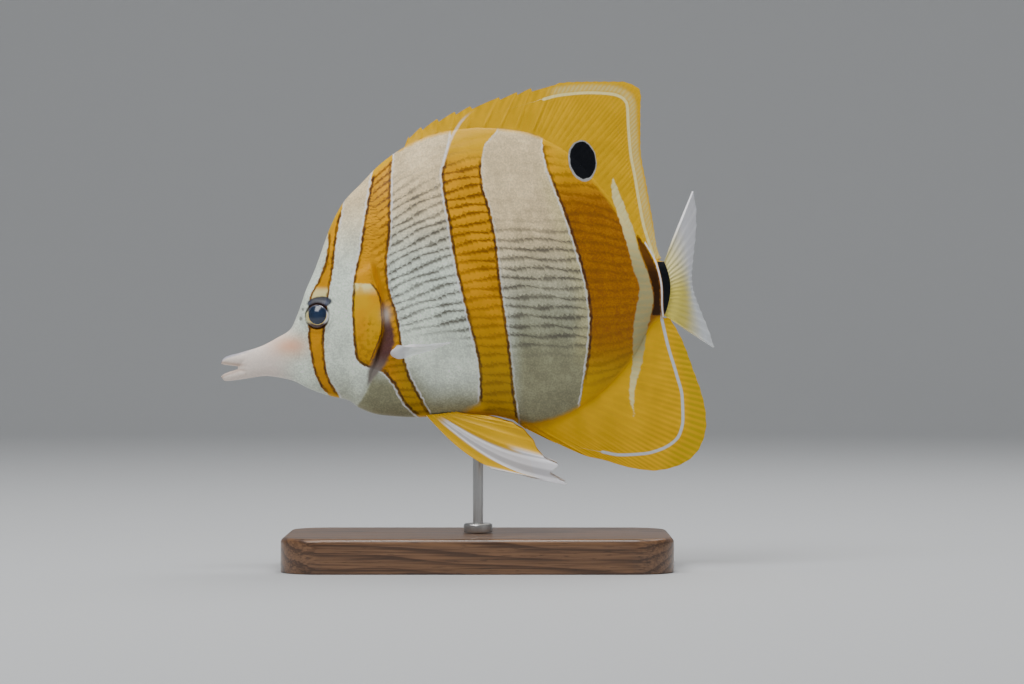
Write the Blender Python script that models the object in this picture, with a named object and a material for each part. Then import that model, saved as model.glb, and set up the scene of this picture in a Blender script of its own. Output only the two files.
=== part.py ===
"""A copperband butterflyfish at life size, held still on a plain display stand.

Sizes are in millimetres up to the point where a mesh is made. X runs from the snout (-X) to the
tail (+X), the fish's left side faces -Y, and Z is the height above the underside of the base,
whose centre is the origin. The fish swims with its head a little down, its mouth slightly open,
its paired fins spread and its tail fin swept to its right.
"""

import math

import bmesh
import bpy
import numpy as np
from mathutils import Matrix

MM = 0.001
GAP = 0.3
SHARP_ANGLE = math.radians(40)
CUT_PAST = 5.0

# Outlines of the flesh in side view, without the fins, as X and Z
BACK = [
    (-74.7, 59.6), (-73.9, 60.8), (-69.0, 62.4), (-63.2, 64.2), (-58.0, 66.9), (-54.5, 69.2),
    (-52.2, 74.2), (-50.2, 80.0), (-47.3, 86.8), (-42.6, 99.7), (-39.1, 106.1), (-34.2, 111.3),
    (-28.4, 117.2), (-22.6, 121.4), (-16.8, 124.3), (-11.0, 126.2), (0.6, 127.7), (12.2, 126.7),
    (23.8, 122.0), (35.4, 111.0), (47.0, 94.2), (51.3, 89.4), (56.0, 88.6),
]
BELLY = [
    (-74.7, 55.2), (-73.4, 54.2), (-69.0, 54.6), (-61.7, 55.6), (-54.5, 54.5), (-48.7, 51.8),
    (-42.9, 49.8), (-37.7, 48.6), (-34.2, 46.2), (-28.4, 44.3), (-18.0, 43.6), (-5.2, 44.2),
    (3.5, 44.2), (9.3, 43.1), (15.1, 41.6), (20.9, 42.6), (32.5, 48.4), (44.1, 59.7),
    (51.3, 71.3), (56.0, 73.7),
]

# Half widths along the flesh, and what shapes its sections
HALF_WIDTH = [
    (-74.7, 0.9), (-73.4, 1.3), (-70.0, 1.7), (-63.2, 2.3), (-58.0, 3.0), (-54.2, 3.9),
    (-50.2, 5.4), (-46.3, 7.0), (-40.0, 8.7), (-31.3, 10.2), (-25.0, 10.8), (-16.8, 11.0),
    (-5.2, 10.5), (6.4, 9.3), (20.9, 7.2), (35.4, 4.9), (47.0, 3.2), (56.0, 2.3),
]
WIDEST_LIFT = [(-74.7, 1.0), (-54.0, 1.0), (-30.0, 0.85), (0.0, 0.8), (56.0, 0.95)]
BACK_POWER = [(-74.7, 0.5), (-54.0, 0.5), (-40.0, 0.6), (-20.0, 0.7), (56.0, 0.75)]
BELLY_POWER = [(-74.7, 0.5), (0.0, 0.5), (12.0, 0.6), (56.0, 0.72)]
BACK_EDGE = [(-74.7, 0.25), (-26.0, 0.3), (-20.0, 1.2), (20.0, 1.3), (44.0, 1.0), (56.0, 0.7)]
BELLY_EDGE = [(-74.7, 0.25), (6.0, 0.3), (12.0, 1.1), (26.0, 1.2), (44.0, 1.0), (56.0, 0.7)]

# Places where the flesh is divided
MOUTH_CORNER_X = -69.9
SNOUT_REAR_X = -54.2
GILL_OPENING = [
    (0.0, -35.6), (0.12, -31.6), (0.26, -28.6), (0.38, -27.2), (0.5, -28.6), (0.7, -32.4),
    (1.0, -36.6),
]
TORSO_REAR_X = 47.6
STALK_REAR_X = 54.0
STALK_REAR_BULGE = 1.8

# Mouth
UPPER_LIP = [(-74.7, 59.0), (-72.5, 58.75), (-69.0, 58.3)]
LOWER_LIP = [(-74.7, 55.6), (-73.6, 56.3), (-69.0, 57.9)]
LIP_EDGE = 0.5
JAW_BULGE = 1.05

# Eye and nostrils, on the left side and mirrored to the right
EYE_X = -46.3
EYE_Z = 72.9
EYE_RADIUS = 3.5
EYE_DOME = 1.7
EYE_SINK = 0.3
EYE_TURN = math.radians(17)
RIM_RADIUS = 3.8
RIM_THICKNESS = 0.5
NOSTRILS = [(-51.3, 72.2, 0.5), (-50.6, 74.6, 0.4)]

# Gill cover, from its lower to its upper end as shares of the head's height
COVER_LOW = 0.2
COVER_HIGH = 0.61
COVER_LENGTH = 12.0
COVER_END_LENGTH = 3.0
COVER_PROUD = 0.6
COVER_DEPTH = 1.3
COVER_FRONT_PROUD = 0.12
HOLLOW_PROUD = 2.4

# Dorsal fin: tips of its spines, then its soft margin, as X and Z
SPINE_TIPS = [
    (-20.2, 125.3), (-16.6, 127.9), (-11.9, 130.3), (-6.8, 132.4), (-2.3, 134.0), (6.1, 136.6),
    (11.3, 138.1), (15.4, 139.2), (21.2, 139.9),
]
SPINE_ROOTS_X = (-21.4, 15.6)
FIN_GAP = 1.1 * GAP
SOFT_DORSAL_MARGIN = [
    (SPINE_TIPS[-1][0] + FIN_GAP, SPINE_TIPS[-1][1]), (24.9, 141.0), (35.4, 141.2), (41.8, 141.2),
    (45.4, 140.0), (47.4, 138.0), (47.2, 132.8), (47.2, 122.6), (49.0, 111.0), (50.8, 100.5),
    (52.2, 92.1), (53.2, 89.9),
]
SOFT_DORSAL_ROOTS_X = (SPINE_ROOTS_X[1] + FIN_GAP, 52.4)
SOFT_DORSAL_RAYS = 29

# Anal fin: tips of its three spines, then its soft margin
ANAL_SPINE_ROOTS_X = (10.2, 12.4, 15.2)
ANAL_SPINE_TIPS = [(13.8, 40.2), (22.6, 36.1), (32.0, 32.2)]
ANAL_MARGIN = [
    (36.6, 31.2), (44.7, 28.9), (51.3, 28.1), (57.1, 29.2), (62.1, 31.9), (65.4, 36.8),
    (66.4, 42.3), (65.5, 48.6), (62.6, 57.4), (59.0, 66.8), (55.6, 72.7),
]
ANAL_ROOTS_X = (17.6, 53.0)
ANAL_RAYS = 20

# Tail fin: a fan swept to the right, described at its top, middle and bottom rays
TAIL_RAYS = 17
TAIL_TILT = [(0.0, math.radians(59)), (0.5, math.radians(13)), (1.0, math.radians(-24))]
TAIL_LENGTH = [(0.0, 26.0), (0.25, 21.0), (0.5, 19.5), (0.75, 21.5), (1.0, 26.0)]
TAIL_SWEEP = [
    (0.0, 0.0), (0.05, 0.0), (0.2, math.radians(52)), (0.5, math.radians(76)), (1.0, math.radians(84)),
]
TAIL_OUTER_SWEEP = 0.72
TAIL_ROOT_TILT = 0.2
TAIL_TURN = 0.2
TAIL_ROW_CROWDING = 1.4
TAIL_TAPER = 0.45

# Pectoral fin of the left side
PECTORAL_ROOT_X = -24.6
PECTORAL_ROOT_Z = (64.3, 60.3)
PECTORAL_RAYS = 14
PECTORAL_STANDOFF = 0.4
PECTORAL_LENGTH = [(0.0, 22.0), (0.2, 26.0), (0.6, 22.0), (1.0, 13.0)]
PECTORAL_SPREAD = (math.radians(58), math.radians(16))
PECTORAL_RISE = (math.radians(1), math.radians(14))
PECTORAL_ROOT_SPREAD = math.radians(80)
PECTORAL_TURN = 0.2
PECTORAL_ROOT_HALF = 0.6

# Pelvic fin of the left side: its spine, then its soft rays from the longest to the shortest
PELVIC_SPINE_ROOT_X = -15.0
PELVIC_SPINE_TIP = (4.6, 28.9)
PELVIC_ROOTS_X = (-12.8, -8.4)
PELVIC_MARGIN = [(25.2, 24.6), (22.6, 29.6), (18.8, 33.2), (14.6, 38.0), (9.8, 41.2)]
PELVIC_RAYS = 7
PELVIC_NOTCH = 1.3
PELVIC_ROOT_SHARE = 0.012
PELVIC_ROOT_HALF = 0.7
PELVIC_SAG = 2.4
PELVIC_SPLAY = 0.2

# Thickness of the fins
MARGIN_HALF = 0.3
RAY_RIDGE = 0.2
RAY_NOTCH = 0.5
SPINE_RIDGE = 0.4
SPINE_SHOULDER = 0.8
SPINE_NOTCH = 1.2
RIDGE_FADE = 0.7

# Stand
BASE_LENGTH = 112.0
BASE_WIDTH = 64.0
BASE_HEIGHT = 10.0
BASE_CORNER = 12.0
BASE_TOP_ROUND = 1.5
ROD_RADIUS = 1.5
ROD_SOCKET_DEPTH = 7.0
ROD_POCKET_DEPTH = 4.0
COLLAR_RADIUS = 4.2
COLLAR_HEIGHT = 2.6
COLLAR_BEVEL = 0.8

# Finishes: colour, roughness and metallic value
PEARL = ((0.80, 0.77, 0.68, 1), 0.35, 0)
SNOUT_PINK = ((0.85, 0.70, 0.64, 1), 0.35, 0)
COPPER_YELLOW = ((0.80, 0.42, 0.03, 1), 0.38, 0)
FIN_YELLOW = ((0.93, 0.66, 0.02, 1), 0.42, 0)
CLEAR_FIN = ((0.80, 0.84, 0.78, 1), 0.35, 0)
STALK_DARK = ((0.05, 0.04, 0.04, 1), 0.4, 0)
EYE_DARK = ((0.02, 0.04, 0.09, 1), 0.08, 0)
WALNUT = ((0.16, 0.08, 0.04, 1), 0.4, 0)
STEEL = ((0.60, 0.60, 0.60, 1), 0.3, 1)


def smooth(points):
    """A smooth curve through points of x and value that never swings past them, as a function."""
    x, y = np.array(points, float).T
    step = np.diff(x)
    rise = np.diff(y) / step
    slope = np.zeros(len(x))
    slope[0], slope[-1] = rise[0], rise[-1]
    for k in range(1, len(x) - 1):
        if rise[k - 1] * rise[k] > 0:
            before, after = 2 * step[k] + step[k - 1], step[k] + 2 * step[k - 1]
            slope[k] = (before + after) / (before / rise[k - 1] + after / rise[k])

    def value(at):
        k = np.clip(np.searchsorted(x, at) - 1, 0, len(step) - 1)
        t = (np.clip(at, x[0], x[-1]) - x[k]) / step[k]
        start = y[k] + step[k] * t * (1 - t) ** 2 * slope[k] + t * t * (3 - 2 * t) * (y[k + 1] - y[k])
        return start - step[k] * t * t * (1 - t) * slope[k + 1]

    return value


def smooth_path(points):
    """A smooth line through points of the side view, as a function of the share of its length."""
    corners = np.array(points, float)
    reach = np.concatenate([[0], np.cumsum(np.linalg.norm(np.diff(corners, axis=0), axis=1))])
    axes = [smooth(list(zip(reach / reach[-1], column))) for column in corners.T]
    return lambda share: np.array([axis(share) for axis in axes])


back, belly, half_width = smooth(BACK), smooth(BELLY), smooth(HALF_WIDTH)
widest_lift, back_power, belly_power = smooth(WIDEST_LIFT), smooth(BACK_POWER), smooth(BELLY_POWER)
back_edge, belly_edge = smooth(BACK_EDGE), smooth(BELLY_EDGE)
gill_opening = smooth(GILL_OPENING)


def mix(low, high, share):
    return low + (high - low) * share


def flesh_half(x, share):
    """Half the thickness of the flesh at X, a share of the way from the belly to the back."""
    edge = mix(belly_edge(x), back_edge(x), share)
    height = np.clip(share, 0, 1) ** widest_lift(x)
    roundness = (4 * height * (1 - height)) ** mix(belly_power(x), back_power(x), share)
    return edge + (half_width(x) - edge) * roundness


def flesh_half_at(x, z):
    return flesh_half(x, (z - belly(x)) / (back(x) - belly(x)))


def outline_point(profile, x, away):
    """A point off the back's or belly's outline, by a distance along its upward normal."""
    slope = (profile(x + 0.1) - profile(x - 0.1)) / 0.2
    return np.array([x, profile(x)]) + away * np.array([-slope, 1]) / math.hypot(slope, 1)


def finish(name, colour, roughness, metallic):
    material = bpy.data.materials.new(name)
    material.use_nodes = True
    shader = material.node_tree.nodes["Principled BSDF"]
    shader.inputs["Base Color"].default_value = colour
    shader.inputs["Roughness"].default_value = roughness
    shader.inputs["Metallic"].default_value = metallic
    return material


def make_object(name, mesh, look=None):
    """An object from a bmesh in millimetres, with its faces turned out."""
    bmesh.ops.recalc_face_normals(mesh, faces=mesh.faces)
    if mesh.calc_volume(signed=True) < 0:
        bmesh.ops.reverse_faces(mesh, faces=mesh.faces)
    bmesh.ops.scale(mesh, vec=(MM, MM, MM), verts=mesh.verts)
    data = bpy.data.meshes.new(name)
    mesh.to_mesh(data)
    mesh.free()
    shade(data)
    thing = bpy.data.objects.new(name, data)
    bpy.context.scene.collection.objects.link(thing)
    if look:
        data.materials.append(finish(name, *look))
    return thing


def slab(name, left, right, look=None):
    """A closed solid between two like grids of points, given column by column."""
    columns, rows = left.shape[0] - 1, left.shape[1] - 1
    mesh = bmesh.new()
    bmesh.ops.create_grid(mesh, x_segments=columns, y_segments=rows, size=0.5)
    bmesh.ops.triangulate(mesh, faces=mesh.faces, quad_method="FIXED")
    grown = bmesh.ops.extrude_face_region(mesh, geom=mesh.faces[:])
    far_side = {vert for vert in grown["geom"] if isinstance(vert, bmesh.types.BMVert)}
    for vert in mesh.verts:
        column = round((vert.co.x + 0.5) * columns)
        row = round((vert.co.y + 0.5) * rows)
        vert.co = (right if vert in far_side else left)[column, row]
    bmesh.ops.triangulate(mesh, faces=mesh.faces, quad_method="FIXED")
    return make_object(name, mesh, look)


def membrane(name, middle, half, look=None):
    """A solid of the given half thickness on either side of a grid of points."""
    across = np.cross(np.gradient(middle, axis=0), np.gradient(middle, axis=1))
    across /= np.linalg.norm(across, axis=2, keepdims=True)
    offset = across * half[..., None]
    return slab(name, middle - offset, middle + offset, look)


def join(body, pieces, operation):
    """Fuse pieces to a body, or cut them out of it, and keep its largest closed surface."""
    group = bpy.data.collections.new(body.name + "_pieces")
    bpy.context.scene.collection.children.link(group)
    for piece in pieces:
        bpy.context.scene.collection.objects.unlink(piece)
        group.objects.link(piece)
    modifier = body.modifiers.new(operation.lower(), "BOOLEAN")
    modifier.operation = operation
    modifier.operand_type = "COLLECTION"
    modifier.collection = group
    modifier.solver = "EXACT"
    graph = bpy.context.evaluated_depsgraph_get()
    result = bpy.data.meshes.new_from_object(body.evaluated_get(graph))
    body.modifiers.clear()
    body.data = result
    for piece in pieces:
        bpy.data.objects.remove(piece)
    bpy.data.collections.remove(group)
    keep_largest_shell(result)


def keep_largest_shell(data):
    mesh = bmesh.new()
    mesh.from_mesh(data)
    left, shells = set(mesh.verts), []
    while left:
        shell, edge = set(), [left.pop()]
        while edge:
            vert = edge.pop()
            shell.add(vert)
            near = {link.other_vert(vert) for link in vert.link_edges} & left
            left -= near
            edge.extend(near)
        shells.append(shell)
    largest = max(shells, key=len)
    scraps = [vert for vert in mesh.verts if vert not in largest]
    bmesh.ops.delete(mesh, geom=scraps, context="VERTS")
    bmesh.ops.triangulate(mesh, faces=mesh.faces)
    mesh.to_mesh(data)
    mesh.free()
    shade(data)


def shade(data):
    data.shade_smooth()
    data.set_sharp_from_angle(angle=SHARP_ANGLE)


def flesh(name, front, rear, columns, rows, look, low=belly, high=back, half=flesh_half):
    """A length of the body between two lines across it, each given as X for a share of the height."""
    shares = (1 - np.cos(np.linspace(0, math.pi, rows + 1))) / 2
    middle = np.empty((columns + 1, rows + 1, 3))
    halves = np.empty((columns + 1, rows + 1))
    for column, along in enumerate(np.linspace(0, 1, columns + 1)):
        x = mix(front(shares), rear(shares), along)
        z = mix(low(x), high(x), shares)
        middle[column] = np.stack([x, np.zeros_like(x), z], axis=1)
        halves[column] = half(x, shares)
    return membrane(name, middle, halves, look)


def at_x(x):
    return lambda shares: np.full_like(shares, x)


def jaw_half(x, share):
    """Half the thickness of a jaw, an oval with a flat lip."""
    return mix(LIP_EDGE, half_width(x) * JAW_BULGE, np.sqrt(np.clip(4 * share * (1 - share), 0, 1)))


def make_jaws():
    lip = smooth(UPPER_LIP)
    flesh("upper_jaw", at_x(BACK[0][0]), at_x(MOUTH_CORNER_X), 6, 6, SNOUT_PINK, low=lip, half=jaw_half)
    lip = smooth(LOWER_LIP)
    flesh("lower_jaw", at_x(BELLY[0][0]), at_x(MOUTH_CORNER_X), 6, 6, SNOUT_PINK, high=lip, half=jaw_half)


def eye_solid(name, side, grow, look=None):
    """The flattened eyeball, or its socket where it is grown by a gap."""
    mesh = bmesh.new()
    bmesh.ops.create_uvsphere(mesh, u_segments=16, v_segments=8, radius=1)
    size = (EYE_RADIUS + grow, EYE_RADIUS + grow, EYE_DOME + grow)
    bmesh.ops.scale(mesh, vec=size, verts=mesh.verts)
    bmesh.ops.transform(mesh, matrix=eye_place(side, EYE_SINK), verts=mesh.verts)
    return make_object(name, mesh, look)


def eye_place(side, sink):
    """From an eye's own frame, looking along +Z, to its place on the head."""
    y = side * (flesh_half_at(EYE_X, EYE_Z) - sink)
    turn = Matrix.Rotation(side * EYE_TURN, 4, "Z") @ Matrix.Rotation(-side * math.pi / 2, 4, "X")
    return Matrix.Translation((EYE_X, y, EYE_Z)) @ turn


def eye_rim(side):
    mesh = bmesh.new()
    ring = bmesh.ops.create_circle(mesh, segments=6, radius=RIM_THICKNESS)["verts"]
    bmesh.ops.rotate(mesh, verts=ring, matrix=Matrix.Rotation(math.pi / 2, 3, "X"))
    bmesh.ops.translate(mesh, verts=ring, vec=(RIM_RADIUS, 0, 0))
    bmesh.ops.spin(
        mesh, geom=mesh.verts[:] + mesh.edges[:], axis=(0, 0, 1), cent=(0, 0, 0),
        angle=math.tau, steps=20, use_merge=True,
    )
    bmesh.ops.remove_doubles(mesh, verts=mesh.verts, dist=0.001)
    bmesh.ops.transform(mesh, matrix=eye_place(side, 0), verts=mesh.verts)
    return make_object("eye_rim", mesh)


def nostril(side, x, z, radius):
    mesh = bmesh.new()
    bmesh.ops.create_icosphere(mesh, subdivisions=1, radius=radius)
    bmesh.ops.translate(mesh, verts=mesh.verts, vec=(x, side * flesh_half_at(x, z), z))
    return make_object("nostril", mesh)


def gill_cover(name, side, grow, look=None):
    """The bony plate over the gills, or the hollow that it lies in where it is grown by a gap."""
    columns, rows = 4, 12
    outer = np.empty((columns + 1, rows + 1, 3))
    inner = np.empty_like(outer)
    margin = grow / (back(EYE_X) - belly(EYE_X))
    for row, along in enumerate(-np.cos(np.linspace(0, math.pi, rows + 1))):
        share = mix(COVER_LOW - margin, COVER_HIGH + margin, (along + 1) / 2)
        rear = gill_opening(share) + (GAP if grow else 0)
        length = COVER_END_LENGTH + COVER_LENGTH * math.sqrt(1 - along * along) + 2 * grow
        for column, back_from_rear in enumerate(np.linspace(1, 0, columns + 1)):
            x = rear - length * back_from_rear
            z = mix(belly(x), back(x), share)
            surface = flesh_half(x, share)
            rise = HOLLOW_PROUD if grow else mix(COVER_PROUD, COVER_FRONT_PROUD, back_from_rear)
            outer[column, row] = (x, side * (surface + rise), z)
            inner[column, row] = (x, side * (surface - COVER_DEPTH - grow), z)
    return slab(name, outer, inner, look)


def make_head():
    flesh("snout", at_x(MOUTH_CORNER_X + GAP), at_x(SNOUT_REAR_X), 8, 12, SNOUT_PINK)
    head = flesh("head", at_x(SNOUT_REAR_X + GAP), gill_opening, 14, 20, PEARL)
    cutters = []
    for side in (-1, 1):
        join(head, [eye_rim(side)], "UNION")
        cutters += [eye_solid("eye_socket", side, GAP), gill_cover("gill_hollow", side, GAP)]
        cutters += [nostril(side, *place) for place in NOSTRILS]
    join(head, cutters, "DIFFERENCE")
    for side, word in ((-1, "left"), (1, "right")):
        eye_solid("eye_" + word, side, 0, EYE_DARK)
        gill_cover("gill_cover_" + word, side, 0, COPPER_YELLOW)


def stalk_rear(share):
    return STALK_REAR_X + STALK_REAR_BULGE * (1 - (2 * share - 1) ** 2)


def make_torso():
    torso = flesh(
        "torso", lambda shares: gill_opening(shares) + GAP, at_x(TORSO_REAR_X), 22, 20, PEARL
    )
    pocket = rod("pocket", belly(0) - CUT_PAST, rod_top() + GAP, ROD_RADIUS + GAP)
    join(torso, [pocket], "DIFFERENCE")
    flesh("tail_stalk", at_x(TORSO_REAR_X + GAP), stalk_rear, 3, 16, STALK_DARK)


def ray_lines(profile, side, edge, rays, rows, soft_notch=RAY_NOTCH):
    """Lines of a fin on the back (side 1) or belly (side -1) as X and Z, and their half thickness.

    Each ray is the X of its root, its tip and whether it is a spine. A spine stands out of the
    membrane, which starts lower beside it; between two rays the membrane is thinner and notched.
    """
    along = np.linspace(0, 1, rows + 1)
    lines, halves = [], []

    def add_line(root_x, tip, ridge):
        lines.append(mix(outline_point(profile, root_x, side * GAP), tip, along[:, None]))
        halves.append(mix(edge(root_x), MARGIN_HALF, along) + ridge * (1 - RIDGE_FADE * along))

    for ray, following in zip(rays, rays[1:] + [None]):
        root_x, tip, is_spine = ray
        run = tip - outline_point(profile, root_x, side * GAP)
        run /= np.linalg.norm(run)
        beside = side * SPINE_SHOULDER * np.array([run[1], -run[0]])
        notch = run * (SPINE_NOTCH if is_spine else soft_notch)
        if is_spine and lines:
            add_line(root_x - SPINE_SHOULDER, tip - beside - notch, 0)
        add_line(root_x, tip, SPINE_RIDGE if is_spine else RAY_RIDGE)
        if following:
            if is_spine:
                add_line(root_x + SPINE_SHOULDER, tip + beside - notch, 0)
            add_line(mix(root_x, following[0], 0.5), mix(tip, following[1], 0.5) - notch, 0)
    return np.array(lines), np.array(halves)


def upright_fin(name, profile, side, edge, rays, rows):
    """A fin in the fish's middle plane."""
    lines, halves = ray_lines(profile, side, edge, rays, rows)
    middle = np.stack([lines[..., 0], np.zeros_like(halves), lines[..., 1]], axis=2)
    membrane(name, middle, halves, FIN_YELLOW)


def soft_rays(roots_x, margin_points, count):
    margin = smooth_path(margin_points)
    shares = np.linspace(0, 1, count)
    return [(mix(*roots_x, share), margin(share), False) for share in shares]


def spines(roots_x, tips):
    return [(x, np.array(tip), True) for x, tip in zip(roots_x, tips)]


def make_dorsal_fin():
    roots_x = np.linspace(*SPINE_ROOTS_X, len(SPINE_TIPS))
    upright_fin("dorsal_fin_spiny", back, 1, back_edge, spines(roots_x, SPINE_TIPS), 5)
    rays = soft_rays(SOFT_DORSAL_ROOTS_X, SOFT_DORSAL_MARGIN, SOFT_DORSAL_RAYS)
    upright_fin("dorsal_fin_soft", back, 1, back_edge, rays, 6)


def make_anal_fin():
    rays = spines(ANAL_SPINE_ROOTS_X, ANAL_SPINE_TIPS)
    rays += soft_rays(ANAL_ROOTS_X, ANAL_MARGIN, ANAL_RAYS)
    upright_fin("anal_fin", belly, -1, belly_edge, rays, 7)


def swept_line(root, heading, rise, length, along):
    """Points along a ray that turns in plan, from its heading at each share of its length."""
    steps = 80
    points = [np.array(root, float)]
    for share in (np.arange(steps) + 0.5) / steps:
        turn, tilt = heading(share), rise(share)
        ahead = np.array([math.cos(turn), math.sin(turn), 0]) * math.cos(tilt)
        points.append(points[-1] + (ahead + [0, 0, math.sin(tilt)]) * length / steps)
    return np.array(points)[np.round(along * steps).astype(int)]


def make_tail_fin():
    columns = 2 * TAIL_RAYS - 1
    tilt, length, sweep = smooth(TAIL_TILT), smooth(TAIL_LENGTH), smooth(TAIL_SWEEP)
    along = np.linspace(0, 1, 9) ** TAIL_ROW_CROWDING
    lines, halves = [], []
    for column, share in enumerate(np.linspace(0, 1, columns)):
        is_ray = column % 2 == 0
        bend = 1 - (1 - TAIL_OUTER_SWEEP) * (2 * share - 1) ** 2
        x = stalk_rear(1 - share)
        lines.append(swept_line(
            (x + GAP, 0, mix(back(x), belly(x), share)),
            lambda at: bend * sweep(at),
            lambda at: tilt(share) * mix(TAIL_ROOT_TILT, 1, min(1, at / TAIL_TURN)),
            length(share) - (0 if is_ray else RAY_NOTCH),
            along,
        ))
        root_half = max(flesh_half(x, 1 - share), 2 * MARGIN_HALF)
        half = mix(root_half, MARGIN_HALF, along ** TAIL_TAPER)
        halves.append(half + (RAY_RIDGE * (1 - along) if is_ray else 0))
    membrane("caudal_fin", np.array(lines), np.array(halves), CLEAR_FIN)


def make_pectoral_fin(name, side):
    columns = 2 * PECTORAL_RAYS - 1
    length = smooth(PECTORAL_LENGTH)
    along = np.linspace(0, 1, 7)
    lines, halves = [], []
    for column, share in enumerate(np.linspace(0, 1, columns)):
        z = mix(*PECTORAL_ROOT_Z, share)
        root = (PECTORAL_ROOT_X, -(flesh_half_at(PECTORAL_ROOT_X, z) + PECTORAL_STANDOFF), z)
        spread, rise = mix(*PECTORAL_SPREAD, share), mix(*PECTORAL_RISE, share)
        is_ray = column % 2 == 0
        line = swept_line(
            root,
            lambda at: -mix(PECTORAL_ROOT_SPREAD, spread, min(1, at / PECTORAL_TURN)),
            lambda at: rise,
            length(share) - (0 if is_ray else RAY_NOTCH),
            along,
        )
        lines.append(line * (1, -side, 1))
        ridge = RAY_RIDGE * (1 - along) if is_ray else 0
        halves.append(mix(PECTORAL_ROOT_HALF, MARGIN_HALF, along) + ridge)
    membrane(name, np.array(lines), np.array(halves), CLEAR_FIN)


def make_pelvic_fin(name, side):
    rays = spines([PELVIC_SPINE_ROOT_X], [PELVIC_SPINE_TIP])
    rays += soft_rays(PELVIC_ROOTS_X, PELVIC_MARGIN, PELVIC_RAYS)
    lines, halves = ray_lines(belly, -1, lambda x: PELVIC_ROOT_HALF, rays, 8, PELVIC_NOTCH)
    along = np.linspace(0, 1, lines.shape[1])
    middle = np.empty(halves.shape + (3,))
    for column, line in enumerate(lines):
        reach = np.linalg.norm(line - line[0], axis=1)
        root_y = flesh_half(line[0, 0], PELVIC_ROOT_SHARE) + GAP
        sag = PELVIC_SAG * (1 - column / len(lines)) * np.sin(along * math.pi)
        middle[column, :, 0] = line[:, 0]
        middle[column, :, 1] = side * (root_y + PELVIC_SPLAY * reach)
        middle[column, :, 2] = line[:, 1] - sag
    membrane(name, middle, halves, FIN_YELLOW)


def rod_top():
    return belly(0) + ROD_POCKET_DEPTH


def rod(name, low, high, radius, look=None):
    mesh = bmesh.new()
    bmesh.ops.create_cone(
        mesh, cap_ends=True, segments=24, radius1=radius, radius2=radius, depth=high - low
    )
    bmesh.ops.translate(mesh, verts=mesh.verts, vec=(0, 0, (low + high) / 2))
    return make_object(name, mesh, look)


def make_base():
    mesh = bmesh.new()
    bmesh.ops.create_cube(mesh, size=1)
    bmesh.ops.scale(mesh, vec=(BASE_LENGTH, BASE_WIDTH, BASE_HEIGHT), verts=mesh.verts)
    bmesh.ops.translate(mesh, vec=(0, 0, BASE_HEIGHT / 2), verts=mesh.verts)
    upright = [edge for edge in mesh.edges if abs(edge.verts[0].co.z - edge.verts[1].co.z) > 1]
    bmesh.ops.bevel(
        mesh, geom=upright, offset=BASE_CORNER, segments=6, profile=0.5, affect="EDGES", material=-1
    )
    rim = [edge for edge in mesh.edges if all(vert.co.z > BASE_HEIGHT - 0.01 for vert in edge.verts)]
    bmesh.ops.bevel(
        mesh, geom=rim, offset=BASE_TOP_ROUND, segments=3, profile=0.5, affect="EDGES", material=-1
    )
    base = make_object("stand_base", mesh, WALNUT)
    socket = rod("socket", BASE_HEIGHT - ROD_SOCKET_DEPTH, BASE_HEIGHT + CUT_PAST, ROD_RADIUS + GAP)
    join(base, [socket], "DIFFERENCE")


def make_collar():
    mesh = bmesh.new()
    low, high = BASE_HEIGHT + GAP, BASE_HEIGHT + GAP + COLLAR_HEIGHT
    inner = ROD_RADIUS + GAP
    profile = [
        (inner, low), (COLLAR_RADIUS, low), (COLLAR_RADIUS, high - COLLAR_BEVEL),
        (COLLAR_RADIUS - COLLAR_BEVEL, high), (inner, high),
    ]
    verts = [mesh.verts.new((radius, 0, z)) for radius, z in profile]
    edges = [mesh.edges.new(pair) for pair in zip(verts, verts[1:] + verts[:1])]
    bmesh.ops.spin(
        mesh, geom=verts + edges, axis=(0, 0, 1), cent=(0, 0, 0), angle=math.tau, steps=24,
        use_merge=True,
    )
    bmesh.ops.remove_doubles(mesh, verts=mesh.verts, dist=0.001)
    make_object("stand_collar", mesh, STEEL)


def make_stand():
    make_base()
    make_collar()
    rod("stand_rod", BASE_HEIGHT - ROD_SOCKET_DEPTH + GAP, rod_top(), ROD_RADIUS, STEEL)


def main():
    for thing in list(bpy.data.objects):
        bpy.data.objects.remove(thing)
    make_jaws()
    make_head()
    make_torso()
    make_dorsal_fin()
    make_anal_fin()
    make_tail_fin()
    for side, word in ((-1, "left"), (1, "right")):
        make_pectoral_fin("pectoral_fin_" + word, side)
        make_pelvic_fin("pelvic_fin_" + word, side)
    make_stand()


main()
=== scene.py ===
"""Looks of a life-size copperband butterflyfish on its display stand.

The shapes are worked out in millimetres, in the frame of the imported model: X runs from the snout
(-X) to the tail, the fish's left side faces -Y, and Z is the height above the floor. The markings are
placed by X and Z in that frame, each edge from where it starts to where it is complete.
"""

import math

import bmesh
import bpy
import numpy as np
from bpy.props import FloatProperty, FloatVectorProperty, IntProperty, PointerProperty
from mathutils import Matrix, Vector


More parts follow.
